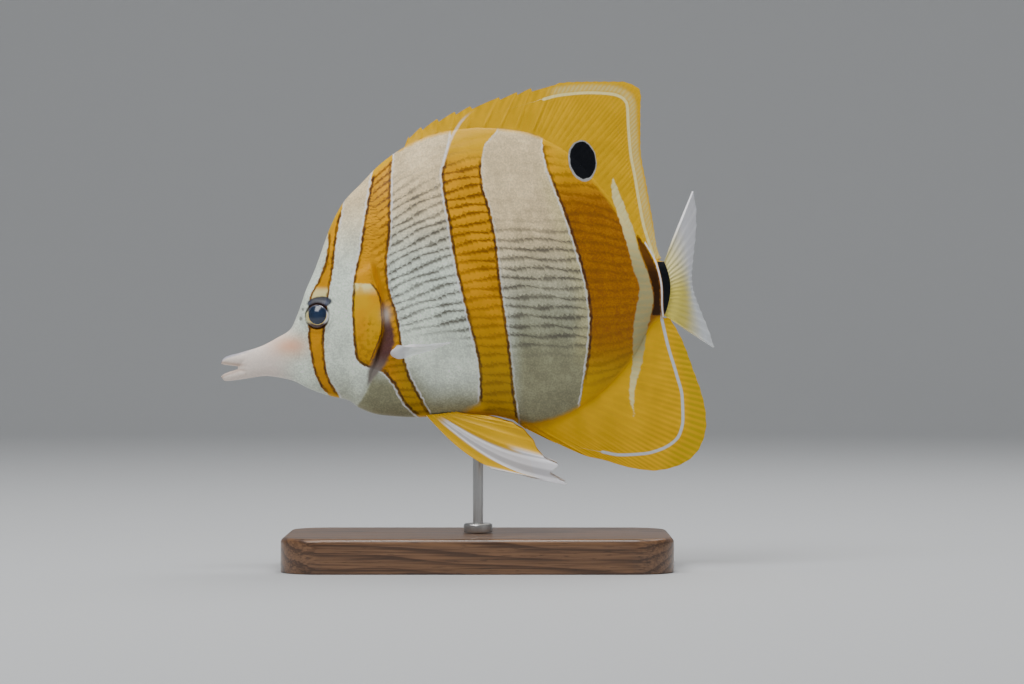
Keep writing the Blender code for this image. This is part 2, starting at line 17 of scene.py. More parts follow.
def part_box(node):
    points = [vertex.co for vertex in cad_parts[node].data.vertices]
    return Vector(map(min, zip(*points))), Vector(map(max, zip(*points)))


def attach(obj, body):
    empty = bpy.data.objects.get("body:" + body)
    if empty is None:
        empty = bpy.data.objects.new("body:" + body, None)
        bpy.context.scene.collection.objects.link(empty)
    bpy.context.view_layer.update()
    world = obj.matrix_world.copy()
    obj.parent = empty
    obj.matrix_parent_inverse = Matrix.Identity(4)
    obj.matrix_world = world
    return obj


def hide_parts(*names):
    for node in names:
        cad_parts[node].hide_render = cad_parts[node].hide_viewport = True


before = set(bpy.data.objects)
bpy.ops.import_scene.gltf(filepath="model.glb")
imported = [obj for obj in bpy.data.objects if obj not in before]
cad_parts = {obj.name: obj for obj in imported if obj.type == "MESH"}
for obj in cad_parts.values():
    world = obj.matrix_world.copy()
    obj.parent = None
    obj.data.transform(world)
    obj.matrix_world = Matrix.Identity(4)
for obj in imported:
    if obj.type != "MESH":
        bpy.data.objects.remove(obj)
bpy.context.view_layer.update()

bl_info = {
    "name": "Copperband Butterflyfish",
    "version": (1, 0, 0),
    "blender": (4, 5, 0),
    "location": "View3D > Sidebar > Fish",
    "description": "Skin, scales, fins, eyes and stand of a life-size butterflyfish model",
    "category": "Add Mesh",
}

MM = 0.001
RIM_ANGLE = math.radians(55)
SIDES = (("left", -1), ("right", 1))
FLESH_NODES = (
    "upper_jaw", "lower_jaw", "snout", "head", "gill_cover_left", "gill_cover_right", "torso",
    "tail_stalk", "dorsal_fin_spiny", "dorsal_fin_soft", "anal_fin",
)

# Outlines of the flesh in side view, without the fins, as X and Z
BACK = [
    (-74.7, 59.6), (-73.9, 60.8), (-69.0, 62.4), (-63.2, 64.2), (-58.0, 66.9), (-54.5, 69.2),
    (-52.2, 74.2), (-50.2, 80.0), (-47.3, 86.8), (-42.6, 99.7), (-39.1, 106.1), (-34.2, 111.3),
    (-28.4, 117.2), (-22.6, 121.4), (-16.8, 124.3), (-11.0, 126.2), (0.6, 127.7), (12.2, 126.7),
    (23.8, 122.0), (35.4, 111.0), (47.0, 94.2), (51.3, 89.4), (56.0, 88.6),
]
BELLY = [
    (-74.7, 55.2), (-73.4, 54.2), (-69.0, 54.6), (-61.7, 55.6), (-54.5, 54.5), (-48.7, 51.8),
    (-42.9, 49.8), (-37.7, 48.6), (-34.2, 46.2), (-28.4, 44.3), (-18.0, 43.6), (-5.2, 44.2),
    (3.5, 44.2), (9.3, 43.1), (15.1, 41.6), (20.9, 42.6), (32.5, 48.4), (44.1, 59.7),
    (51.3, 71.3), (56.0, 73.7),
]

# Half widths along the flesh, and what shapes its sections
HALF_WIDTH = [
    (-74.7, 0.9), (-73.4, 1.3), (-70.0, 1.7), (-63.2, 2.3), (-58.0, 3.0), (-54.2, 3.9),
    (-50.2, 5.4), (-46.3, 7.0), (-40.0, 8.7), (-31.3, 10.2), (-25.0, 10.8), (-16.8, 11.0),
    (-5.2, 10.5), (6.4, 9.3), (20.9, 7.2), (35.4, 4.9), (47.0, 3.2), (56.0, 2.3),
]
WIDEST_LIFT = [(-74.7, 1.0), (-54.0, 1.0), (-30.0, 0.85), (0.0, 0.8), (56.0, 0.95)]
BACK_POWER = [(-74.7, 0.5), (-54.0, 0.5), (-40.0, 0.6), (-20.0, 0.7), (56.0, 0.75)]
BELLY_POWER = [(-74.7, 0.5), (0.0, 0.5), (12.0, 0.6), (56.0, 0.72)]
BACK_EDGE = [(-74.7, 0.25), (-26.0, 0.3), (-20.0, 1.2), (20.0, 1.3), (44.0, 1.0), (56.0, 0.7)]
BELLY_EDGE = [(-74.7, 0.25), (6.0, 0.3), (12.0, 1.1), (26.0, 1.2), (44.0, 1.0), (56.0, 0.7)]

# Where the flesh starts, opens at the gills and ends
MOUTH_CORNER_X = -69.9
GILL_OPENING = [
    (0.0, -35.6), (0.12, -31.6), (0.26, -28.6), (0.38, -27.2), (0.5, -28.6), (0.7, -32.4),
    (1.0, -36.6),
]
GILL_MIDDLE_X = -27.2
STALK_REAR_X = 54.0
STALK_REAR_BULGE = 1.8
UPPER_LIP = [(-74.7, 59.0), (-72.5, 58.75), (-69.0, 58.3)]
LOWER_LIP = [(-74.7, 55.6), (-73.6, 56.3), (-69.0, 57.9)]
LIP_EDGE = 0.5

# Eye and nostrils of a side
EYE_X = -46.3
EYE_Z = 72.9
EYE_RADIUS = 3.5
EYE_DOME = 1.7
EYE_SINK = 0.3
EYE_TURN = math.radians(17)
NOSTRILS = [(-51.3, 72.2, 0.75), (-50.7, 74.9, 0.62)]

# Gill cover, between shares of the head's height
COVER_LOW = 0.2
COVER_HIGH = 0.61
COVER_LENGTH = 12.0
COVER_END_LENGTH = 3.0

# Fins on the back and belly: tips of the spines, then the soft margin
SPINE_TIPS = [
    (-20.2, 125.3), (-16.6, 127.9), (-11.9, 130.3), (-6.8, 132.4), (-2.3, 134.0), (6.1, 136.6),
    (11.3, 138.1), (15.4, 139.2), (21.2, 139.9),
]
SPINE_ROOTS_X = (-21.4, 15.6)
SOFT_DORSAL_MARGIN = [
    (21.2, 139.9), (24.9, 141.0), (35.4, 141.2), (41.8, 141.2), (45.4, 140.0), (47.4, 138.0),
    (47.2, 132.8), (47.2, 122.6), (49.0, 111.0), (50.8, 100.5), (52.2, 92.1), (53.2, 89.9),
]
SOFT_DORSAL_ROOTS_X = (15.6, 52.4)
SOFT_DORSAL_RAYS = 30
ANAL_SPINE_ROOTS_X = (10.2, 12.4, 15.2)
ANAL_SPINE_TIPS = [(13.8, 40.2), (22.6, 36.1), (32.0, 32.2)]
ANAL_MARGIN = [
    (36.6, 31.2), (44.7, 28.9), (51.3, 28.1), (57.1, 29.2), (62.1, 31.9), (65.4, 36.8),
    (66.4, 42.3), (65.5, 48.6), (62.6, 57.4), (59.0, 66.8), (55.6, 72.7),
]
ANAL_ROOTS_X = (17.6, 53.0)
ANAL_RAYS = 20

# Markings of the side, as edges that give X at a height Z
EYE_BAR = (
    [(50.0, -43.4), (53.6, -46.1), (60.3, -48.1), (68.7, -49.0), (78.2, -48.7), (84.0, -45.8),
     (89.8, -43.9), (95.1, -43.4), (98.0, -44.0), (100.0, -47.0), (104.0, -56.0)],
    [(50.0, -40.3), (56.8, -43.6), (64.6, -44.4), (72.0, -43.8), (78.8, -43.0), (86.4, -41.8),
     (95.1, -40.9), (104.3, -39.4)],
)
GILL_BAR = (
    [(43.4, -16.8), (47.8, -21.2), (53.9, -24.6), (57.0, -27.6), (58.6, -32.4), (60.6, -34.9),
     (66.1, -35.7), (74.8, -36.2), (83.5, -35.7), (90.7, -34.2), (102.3, -32.5), (115.4, -30.4)],
    [(43.4, -13.4), (50.1, -16.8), (56.8, -20.0), (64.6, -21.8), (70.4, -22.6), (74.8, -23.5),
     (80.0, -25.3), (86.4, -26.1), (99.4, -25.2), (112.5, -25.2), (119.0, -24.9)],
)
MIDDLE_BAR = (
    [(43.0, -6.5), (45.5, -3.4), (48.5, 0.6), (55.9, 0.6), (66.1, -1.2), (77.7, -4.1),
     (89.3, -6.7), (100.3, -8.4), (110.1, -10.1), (113.9, -10.4), (117.7, -9.6), (124.9, -7.8)],
    [(43.4, 11.6), (51.6, 10.4), (60.3, 9.6), (71.9, 8.1), (83.5, 6.4), (92.2, 5.5),
     (102.3, 3.8), (111.0, 1.4), (115.4, 0.9), (119.7, 1.2), (122.6, 1.9), (126.6, 5.4)],
)
REAR_BAR_FRONT = [
    (42.0, 28.6), (47.2, 29.6), (54.5, 30.7), (63.2, 31.9), (71.9, 32.4), (80.0, 31.6),
    (87.8, 29.7), (95.6, 27.4), (104.3, 24.4), (112.5, 21.2), (116.8, 19.7), (121.2, 18.9),
    (127.0, 18.8),
]
CREAM_BAND = (
    [(43.4, 45.2), (51.6, 43.8), (60.3, 44.9), (69.0, 45.0), (77.7, 46.4), (81.0, 46.7),
     (87.8, 44.7), (95.1, 42.9), (103.2, 40.3), (109.6, 38.7), (113.0, 39.0)],
    [(43.4, 45.4), (50.1, 45.3), (60.3, 47.8), (69.0, 49.0), (77.7, 50.8), (84.3, 49.6),
     (92.2, 46.7), (98.0, 45.2), (108.1, 41.2), (113.0, 39.3)],
)
STALK_LINE = [(72.0, 53.6), (76.2, 53.1), (80.6, 53.0), (87.8, 51.6), (97.4, 46.3)]

# Markings that follow a path, as X and Z
DORSAL_LINE = [
    (19.0, 136.0), (23.8, 137.2), (32.5, 137.9), (38.3, 137.6), (41.8, 136.5), (43.3, 134.4),
    (43.6, 129.0), (44.4, 119.7), (45.5, 113.9), (46.7, 106.7), (48.1, 99.4), (49.9, 93.6),
    (51.0, 90.4),
]
FRONT_LINE = [(-9.8, 118.0), (-7.7, 124.6), (-3.4, 131.2), (1.5, 134.6)]
ANAL_LINE = [
    (53.4, 72.0), (55.1, 64.6), (57.7, 55.9), (59.3, 49.5), (59.5, 43.0), (58.4, 38.4),
    (56.3, 36.1), (53.0, 34.3), (48.5, 33.1), (41.2, 32.7), (36.0, 33.6),
]
GILL_PLATE_REAR = [
    (57.0, -32.2), (61.4, -30.4), (66.1, -28.4), (70.0, -27.5), (74.2, -27.7), (77.7, -28.0),
    (80.5, -29.2), (83.4, -31.6),
]
GILL_GAP = [
    (51.5, -0.6), (54.5, 2.3), (57.5, 4.3), (60.5, 5.0), (65.0, 4.9), (69.0, 3.7),
    (73.0, 2.3), (76.5, 1.2), (79.5, -0.2),
]
OCELLUS = (30.4, 118.2, 3.7, 5.5, math.radians(9))

# Rows of scales on the body: how steeply they climb to the rear, and where on the flank they start
ROW_SLOPE = [(-40.0, 0.62), (-25.0, 0.55), (-12.0, 0.36), (0.0, 0.14), (12.0, 0.0), (56.0, -0.1)]
ROW_SLOPE_SHARE = [(-60.0, 0.3), (-30.0, 0.4), (0.0, 0.9), (50.0, 1.05)]
ROW_SIZE = [(-40.0, 0.84), (-24.0, 0.95), (-5.0, 1.0), (30.0, 1.0), (48.0, 0.8), (56.0, 0.62)]
ROW_START_Z = 85.0
HEAD_ROW_START_Z = 66.0
FLANK_ROWS_X = (-40.0, 57.0)
HEAD_ROWS_X = (-60.0, -24.0)

# Distances between the skin's points: up the side as shares, and along the head and the body
SIDE_PITCH = [
    (0.0, 0.0025), (0.06, 0.008), (0.2, 0.012), (0.42, 0.011), (0.5, 0.0066), (0.66, 0.0066),
    (0.72, 0.0095), (0.9, 0.0095), (0.96, 0.006), (1.0, 0.0025),
]
HEAD_PITCH = [(-70, 0.4), (-60, 0.45), (-54, 0.26), (-41, 0.26), (-36, 0.4), (-27, 0.22)]
BODY_PITCH = [(-28, 0.2), (-25, 0.4), (-18, 0.75), (46, 0.85), (56, 0.5)]

# How deep the fins are sunk, where the jaws end inside the snout, and how far joins are softened
FIN_SINK = 3.0
JAW_REAR_X = -67.5
JOIN_REACH = 1.2

# Steps of the fins' meshes from one ray to the next, as shares, or how many there are
SPINE_PARTS = (0.0, 0.05, 0.12, 0.22, 0.4, 0.6, 0.78, 0.88, 0.95)
SOFT_PARTS = (0.0, 0.17, 0.33, 0.5, 0.67, 0.83)
PELVIC_PARTS = (0.0, 0.06, 0.14, 0.26, 0.5, 0.74, 0.86, 0.94)
RAY_PARTS = 6

# Shares of a soft ray between which it splits in two
SPLIT_SHARES = (0.45, 0.75)
TAIL_SPLIT_SHARES = (0.4, 0.7)

# Map of the rows: its steps along the body and up the side
ROW_MAP_ALONG = 0.5
ROW_MAP_UP = 0.25

# Eyeball: play in its cup, and how much its dome is flattened
EYE_PLAY = 0.02
EYE_FLATTENING = 0.16

# Relief of the head
LID_RADIUS, LID_WIDTH, LID_HEIGHT = 4.1, 0.42, 0.38
CREASE_RADIUS, CREASE_WIDTH, CREASE_DEPTH = 5.4, 0.7, 0.22
EYE_CUP_RADII = (3.2, 3.8)
EYE_CUP_DEPTH = 1.1
NOSTRIL_RIM, NOSTRIL_RIM_WIDTH, NOSTRIL_DEPTH = 0.14, 0.35, 0.6
COVER_PROUD = 0.55
COVER_SLIT_DEPTH, COVER_SLIT_WIDTH = 0.55, 0.45
COVER_CREASE_DEPTH, COVER_CREASE_AHEAD = 0.12, 8.6
THROAT_FOLD_DEPTH = 0.3
PECTORAL_MOUND_X, PECTORAL_MOUND_Z, PECTORAL_MOUND_HEIGHT = -24.6, 62.3, 0.45

# Scales of each coat: cells of the mesh, length and half width as shares of their spacing, lift,
# and taper to the tip
SCALE_SHAPES = {
    "flank": ((3, 4), 1.75, 0.56, 0.042, 0.12),
    "head": ((2, 2), 1.6, 0.72, 0.02, 0.5),
    "fins": ((2, 2), 1.6, 0.62, 0.016, 0.5),
}
BAKE_PATCH = 0.003

# Where roots of scales are laid out: along X, and up the side from the first row
FLANK_ROOTS = ((-38, 54.6), (-66, 77))
HEAD_ROOTS = ((-58, -26), (-40, 60))

# Bare places round the eye and the nostrils, as X, Z and radius
BARE_PLACES = ((EYE_X - 0.6, EYE_Z, 5.0), (-51.4, 73.4, 2.2))

# Tail fin: a fan swept to the right, described from its top ray to its bottom ray
TAIL_RAYS = 17
TAIL_TILT = [(0.0, math.radians(67)), (0.5, math.radians(18)), (1.0, math.radians(-31))]
TAIL_LENGTH = [(0.0, 26.0), (0.25, 21.0), (0.5, 19.5), (0.75, 21.5), (1.0, 26.0)]
TAIL_SWEEP = [
    (0.0, 0.0), (0.05, 0.0), (0.2, math.radians(52)), (0.5, math.radians(76)),
    (1.0, math.radians(84)),
]

# Pectoral fins, from the top ray to the bottom ray
PECTORAL_ROOT_X = -24.6
PECTORAL_ROOT_Z = (64.3, 60.3)
PECTORAL_ROOT_BOW = 0.9
PECTORAL_RAYS = 14
PECTORAL_LENGTH = [(0.0, 22.0), (0.2, 26.0), (0.6, 22.0), (1.0, 13.0)]
PECTORAL_SPREAD = (math.radians(58), math.radians(16))
PECTORAL_RISE = (math.radians(1), math.radians(14))

# Pelvic fins: the spine first, then the tips of the rays
PELVIC_SPINE_ROOT_X = -15.0
PELVIC_SPINE_TIP = (4.2, 28.9)
PELVIC_ROOTS_X = (-13.2, -6.4)
PELVIC_TIPS = [
    (25.7, 24.6), (23.2, 30.2), (18.6, 32.9), (16.2, 36.8), (13.2, 40.2), (10.0, 42.0), (6.6, 43.0),
]
PELVIC_SAG = [(0.0, 1.7), (1.0, 4.2), (2.0, 2.8), (3.0, 1.3), (4.0, 0.3), (7.0, -0.4)]
PELVIC_NOTCH = [(0.0, 0.0), (0.99, 0.0), (1.5, 4.6), (2.5, 1.6), (3.5, 0.35), (7.0, 0.2)]
PELVIC_SPLAY = 0.2
PELVIC_ROOT_SHARE = 0.012

# Stand, in millimetres but for the area of a face that counts as flat
BASE_CORNER = 12.0
BASE_TOP_ROUND = 1.5
BASE_FOOT_ROUND = 0.4
FLAT_FACE = 1e-4
ROD_END_ROUND = 0.3
COLLAR_ROUND = 0.8
COLLAR_EDGE = 0.15
COLLAR_PLAY = 0.25

# Stage, in metres and watts: lights as name, place, size and power
FLOOR_RADIUS = 1.45
SWEEP_RADIUS = 0.6
WALL_HEIGHT = 0.7
STUDIO_AIM = (0.0, 0.0, 0.085)
STUDIO_LIGHTS = (
    ("key", (-0.35, -0.45, 0.8), 0.45, 4.6),
    ("back", (0.3, 0.5, 0.8), 0.45, 2.6),
    ("top", (0.03, -0.08, 0.9), 0.35, 3.9),
    ("fill", (0.8, -0.7, 0.35), 0.7, 0.4),
)
WALL_LIGHT_POWERS = (6.5, 4.0, 4.0, 4.0)
SKY_COLOUR = (0.9, 0.95, 1.0, 1)
SKY_STRENGTH = 0.1
CAMERA_PLACE = (9.86 * MM, -1.0, 65.5 * MM)
CAMERA_LENS = 121.0


def length_property(name, about, millimetres):
    return FloatProperty(name=name, description=about, default=millimetres * MM, unit="LENGTH")


def colour_property(name, about, value):
    return FloatVectorProperty(name=name, description=about, subtype="COLOR", default=value)


class FishSizes(bpy.types.PropertyGroup):
    """Sizes of the coat that a maker would change."""

    row_height: length_property("Row height", "Distance between two rows of flank scales", 2.75)
    scale_step: length_property("Scale step", "Distance between two scales of a row", 1.35)
    small_scale: length_property("Small scale", "Distance between scales on the fin bases", 1.15)
    head_scale: length_property("Head scale", "Distance between scales of the head", 0.95)
    coat_depth: length_property("Coat depth", "How deep the skin lies under the scales' tips", 0.2)
    seed: IntProperty(name="Seed", description="Start of the random variation", default=7)


class FishColours(bpy.types.PropertyGroup):
    """Colours of the animal."""

    pearl: colour_property("Pearl", "Pale panels between the bars", (0.86, 0.95, 0.81))
    pearl_warm: colour_property("Warm pearl", "Upper part of the pale panels", (0.92, 0.73, 0.43))
    pearl_shade: colour_property("Pearl shade", "Lines between the rows of scales", (0.11, 0.10, 0.08))
    # This colour also paints shade on the underside and under the chin
    olive: colour_property("Olive", "Duller pearl of the rear and the belly", (0.27, 0.255, 0.13))
    edge_white: colour_property("Edge white", "Pale lines beside the bars", (0.95, 0.94, 0.98))
    gold: colour_property("Gold", "Copper-yellow bars", (0.93, 0.42, 0.0))
    # Old gold also paints the shade low on the gill bar
    old_gold: colour_property("Old gold", "Lower bars and rim of the anal fin", (0.55, 0.38, 0.0))
    brown: colour_property("Brown", "Orange-brown of the rear bar", (0.33, 0.115, 0.012))
    # Outline also paints the shade along the gill cover's rear edge and inside the gill opening
    outline: colour_property("Outline", "Dark edges of the bars", (0.05, 0.018, 0.012))
    yellow: colour_property("Fin yellow", "Fins of the back and belly", (0.90, 0.51, 0.0))
    lemon: colour_property("Lemon", "Root of the tail fin", (0.95, 0.78, 0.06))
    cream: colour_property("Cream", "Pale band behind the rear bar", (0.90, 0.80, 0.36))
    blue_white: colour_property("Blue white", "Line along the anal fin", (0.62, 0.72, 0.80))
    black: colour_property("Black", "Eyespot and tail ring", (0.004, 0.005, 0.008))
    halo: colour_property("Slate", "Ring round the eyespot, brow and snout's tip", (0.22, 0.26, 0.40))
    mauve: colour_property("Mauve", "Skin inside the gill opening", (0.085, 0.035, 0.042))
    pink: colour_property("Snout pink", "Bare skin of the snout", (1.0, 0.87, 0.77))
    flush: colour_property("Snout flush", "Orange patch behind the snout", (0.95, 0.52, 0.32))
    clear: colour_property("Clear fin", "See-through tail and pectoral fins", (0.93, 0.97, 1.0))
    pupil: colour_property("Pupil", "Deep blue of the pupil", (0.008, 0.022, 0.055))


class StandColours(bpy.types.PropertyGroup):
    """Colours of the display stand and the stage."""

    wood_light: colour_property("Light grain", "Pale grain of the base", (0.24, 0.12, 0.055))
    wood_dark: colour_property("Dark grain", "Dark grain of the base", (0.075, 0.034, 0.016))
    steel: colour_property("Steel", "Rod and collar", (0.58, 0.58, 0.57))
    floor: colour_property("Floor", "Pale floor and backdrop", (0.52, 0.53, 0.54))


def smooth(points):
    """A smooth curve through points of x and value that never swings past them, as a function."""
    x, y = np.array(points, float).T
    step = np.diff(x)
    rise = np.diff(y) / step
    slope = np.zeros(len(x))
    slope[0], slope[-1] = rise[0], rise[-1]
    for k in range(1, len(x) - 1):
        if rise[k - 1] * rise[k] > 0:
            before, after = 2 * step[k] + step[k - 1], step[k] + 2 * step[k - 1]
            slope[k] = (before + after) / (before / rise[k - 1] + after / rise[k])

    def value(at):
        k = np.clip(np.searchsorted(x, at) - 1, 0, len(step) - 1)
        t = (np.clip(at, x[0], x[-1]) - x[k]) / step[k]
        start = y[k] + step[k] * t * (1 - t) ** 2 * slope[k] + t * t * (3 - 2 * t) * (y[k + 1] - y[k])
        return start - step[k] * t * t * (1 - t) * slope[k + 1]

    return value


def by_number(values):
    """A smooth curve through values at 0, 1, 2 and so on."""
    return smooth(list(enumerate(values)))


def smooth_path(points):
    """A smooth line through points of the side view, as a function of the share of its length."""
    corners = np.array(points, float)
    reach = np.concatenate([[0], np.cumsum(np.linalg.norm(np.diff(corners, axis=0), axis=1))])
    axes = [smooth(list(zip(reach / reach[-1], column))) for column in corners.T]
    return lambda share: np.stack([axis(share) for axis in axes], axis=-1)


def mix(low, high, share):
    return low + (high - low) * share


def step(value, low, high):
    """From 0 at low to 1 at high, with soft ends."""
    t = np.clip((value - low) / (high - low), 0, 1)
    return t * t * (3 - 2 * t)


def bump(distance, width):
    return np.exp(-(distance / width) ** 2)


def spaced(start, end, pitch):
    """Positions from start to end whose distances follow a pitch that varies on the way."""
    fine = np.linspace(start, end, 500)
    density = 1 / pitch(fine)
    count = np.concatenate([[0], np.cumsum((density[1:] + density[:-1]) / 2 * np.diff(fine))])
    return np.interp(np.linspace(0, count[-1], math.ceil(count[-1]) + 1), count, fine)


back, belly, half_width = smooth(BACK), smooth(BELLY), smooth(HALF_WIDTH)
widest_lift, back_power, belly_power = smooth(WIDEST_LIFT), smooth(BACK_POWER), smooth(BELLY_POWER)
back_edge, belly_edge = smooth(BACK_EDGE), smooth(BELLY_EDGE)
gill_opening, gill_gap = smooth(GILL_OPENING), smooth(GILL_GAP)
row_slope, row_slope_share = smooth(ROW_SLOPE), smooth(ROW_SLOPE_SHARE)
row_size = smooth(ROW_SIZE)
upper_lip, lower_lip = smooth(UPPER_LIP), smooth(LOWER_LIP)


def flesh_half(x, share):
    """Half the thickness of the flesh at X, a share of the way from the belly to the back."""
    edge = mix(belly_edge(x), back_edge(x), share)
    height = np.clip(share, 0, 1) ** widest_lift(x)
    roundness = (4 * height * (1 - height)) ** mix(belly_power(x), back_power(x), share)
    return edge + (half_width(x) - edge) * roundness


def share_at(x, z):
    return (z - belly(x)) / (back(x) - belly(x))


def head_relief(x, share):
    """How far the lids, nostrils, gill cover and fin bases stand out of the plain flesh."""
    z = mix(belly(x), back(x), share)
    from_eye = np.hypot(x - EYE_X, z - EYE_Z)
    relief = LID_HEIGHT * bump(from_eye - LID_RADIUS, LID_WIDTH)
    relief -= EYE_CUP_DEPTH * (1 - step(from_eye, *EYE_CUP_RADII))
    relief -= CREASE_DEPTH * bump(from_eye - CREASE_RADIUS, CREASE_WIDTH)
    for nostril_x, nostril_z, radius in NOSTRILS:
        off = np.hypot(x - nostril_x, z - nostril_z)
        relief += NOSTRIL_RIM * bump(off - radius - 0.1, NOSTRIL_RIM_WIDTH)
        relief -= NOSTRIL_DEPTH * bump(off, radius)

    cover = (share - COVER_LOW) / (COVER_HIGH - COVER_LOW) * 2 - 1
    fade = 1 - step(np.abs(cover), 0.88, 1.1)
    bulge = np.sqrt(1 - np.clip(cover, -1, 1) ** 2)
    length = COVER_END_LENGTH + COVER_LENGTH * bulge
    ahead = gill_opening(share) - x
    plate = COVER_PROUD * step(ahead, -0.05, 0.35) * (1 - step(ahead, 0.35 * length, 1.1 * length))
    slit = COVER_SLIT_DEPTH * bump(ahead + 0.35, COVER_SLIT_WIDTH)
    crease = COVER_CREASE_DEPTH * bump(ahead - COVER_CREASE_AHEAD * bulge - 0.5, 0.5)
    relief += (plate - slit - crease) * fade
    throat = (1 - step(share, COVER_LOW - 0.02, COVER_LOW + 0.03)) * step(share, 0.0, 0.05)
    relief -= THROAT_FOLD_DEPTH * bump(ahead, 0.5) * throat
    from_mound = np.hypot((x - PECTORAL_MOUND_X) / 1.3, (z - PECTORAL_MOUND_Z) / 1.5)
    return relief + PECTORAL_MOUND_HEIGHT * bump(from_mound, 2.0)


def coat_depth(x):
    """How deep the skin lies in the solid form: bare on the snout, and under scales elsewhere."""
    return mix(0.05, 1, step(x, -60, -50)) * bpy.context.scene.fish_sizes.coat_depth / MM


def skin_half(x, share):
    limit = flesh_half(x, share)
    return np.maximum(limit + head_relief(x, share) - coat_depth(x), 0.1)


def outline_point(profile, x, away):
    """Points off the back's or belly's outline, by a distance along its upward normal."""
    slope = (profile(x + 0.1) - profile(x - 0.1)) / 0.2
    normal = np.stack([-slope, np.ones_like(slope)], axis=-1) / np.hypot(slope, 1)[..., None]
    return np.stack([x, profile(x)], axis=-1) + np.asarray(away)[..., None] * normal


def split_ridge(off, along, start, end):
    """How high a soft ray stands at a distance from its middle, as it splits in two on its way."""
    return mix(np.cos(math.pi * off) ** 2, np.cos(2 * math.pi * off) ** 2, step(along, start, end))


class UprightFin:
    """A fin of the middle plane, placed by a ray number and by the share of the ray's length."""

    def __init__(self, profile, edge, side, spine_roots, spine_tips, roots_x, margin_points, rays):
        self.profile, self.edge, self.side, self.spines = profile, edge, side, len(spine_tips)
        shares = np.linspace(0, 1, rays)
        if margin_points[0] == spine_tips[-1]:
            shares = shares[1:]
        tips = np.vstack([spine_tips, smooth_path(margin_points)(shares)])
        roots = np.concatenate([spine_roots, mix(*roots_x, shares)])
        self.count = len(roots)
        self.root_x, self.tip_x, self.tip_z = (by_number(values) for values in (roots, *tips.T))

    def line(self, ray):
        """The root and the tip of a ray."""
        root = outline_point(self.profile, self.root_x(ray), np.zeros_like(ray))
        return root, np.stack([self.tip_x(ray), self.tip_z(ray)], axis=-1)

    def place(self, ray, along):
        return mix(*self.line(ray), along[..., None])

    def notch(self, ray):
        """How far the edge of the membrane falls back from the tips beside it."""
        past = ray - np.floor(ray)
        spiny = 1.3 * (1 - past) ** 1.2 * step(past, 0.0, 0.12)
        soft = 0.16 * np.sin(math.pi * past) ** 2
        return np.where(ray < self.spines - 1, spiny, soft)

    def half(self, ray, along):
        """Half the fin's thickness, with its spines and rays raised."""
        off = np.abs(ray - np.round(ray))
        spacing = np.abs(self.root_x(ray + 0.5) - self.root_x(ray - 0.5))
        spine = 0.3 * (1 - 0.6 * along) * bump(off * np.maximum(spacing, 2.0), 0.42)
        soft = 0.1 * split_ridge(off, along, *SPLIT_SHARES)
        ridge = np.where(ray < self.spines - 0.5, spine, soft) * step(along, -0.02, 0.12)
        return mix(self.edge(self.root_x(ray)) - 0.12, 0.17, np.clip(along, 0, 1) ** 0.75) + ridge

    def find(self, x, z):
        """The ray number and share along it of points of the side view."""
        root, tip = self.line(np.arange(self.count, dtype=float))
        run = tip - root
        aim = run / np.linalg.norm(run, axis=1)[:, None]
        dx, dz = x[:, None] - root[:, 0], z[:, None] - root[:, 1]
        across = self.side * (dx * aim[:, 1] - dz * aim[:, 0])
        before = np.clip((across > 0).sum(axis=1) - 1, 0, self.count - 2)
        pick = np.arange(len(x))
        first, second = across[pick, before], across[pick, before + 1]
        ray = before + np.clip(first / np.where(first == second, 1, first - second), 0, 1)
        root, tip = self.line(ray)
        run = tip - root
        along = ((x - root[:, 0]) * run[:, 0] + (z - root[:, 1]) * run[:, 1]) / (run ** 2).sum(axis=1)
        return ray, along


DORSAL_FIN = UprightFin(
    back, back_edge, 1, np.linspace(*SPINE_ROOTS_X, len(SPINE_TIPS)), SPINE_TIPS,
    SOFT_DORSAL_ROOTS_X, SOFT_DORSAL_MARGIN, SOFT_DORSAL_RAYS,
)
ANAL_FIN = UprightFin(
    belly, belly_edge, -1, ANAL_SPINE_ROOTS_X, ANAL_SPINE_TIPS,
    ANAL_ROOTS_X, ANAL_MARGIN, ANAL_RAYS,
)

# Fins with scales: the first ray of the scales and the share of the rays that they cover
FIN_COATS = ((DORSAL_FIN, 3.5, 0.6), (ANAL_FIN, 0.5, 0.58))


def edge_distance(edge, x, z):
    """How far behind an edge, given as X at a height, a point of the side view lies."""
    curve = smooth(edge)
    slope = (curve(z + 0.1) - curve(z - 0.1)) / 0.2
    return (x - curve(z)) / np.hypot(slope, 1)


def inside_bar(edges, x, z):
    return np.minimum(edge_distance(edges[0], x, z), -edge_distance(edges[1], x, z))


def path_side(path, x, z):
    """The distance from a line of the side view, negative on the right of the way it runs."""
    points = smooth_path(path)(np.linspace(0, 1, 60))
    nearest, side = np.full(np.shape(x), np.inf), np.ones(np.shape(x))
    for start, end in zip(points[:-1], points[1:]):
        run = end - start
        t = np.clip(((x - start[0]) * run[0] + (z - start[1]) * run[1]) / (run @ run), 0, 1)
        dx, dz = x - start[0] - t * run[0], z - start[1] - t * run[1]
        closer = np.hypot(dx, dz) < nearest
        nearest = np.where(closer, np.hypot(dx, dz), nearest)
        side = np.where(closer, np.where(run[0] * dz < run[1] * dx, -1, 1), side)
    return nearest * side


def bar_foot(x, z):
    """The soft patch where the middle bar spreads over the belly."""
    return (1 - step(z, 46.5, 50.0)) * (1 - step(x, 0.5, 3.0)) * step(x, -9, -6)


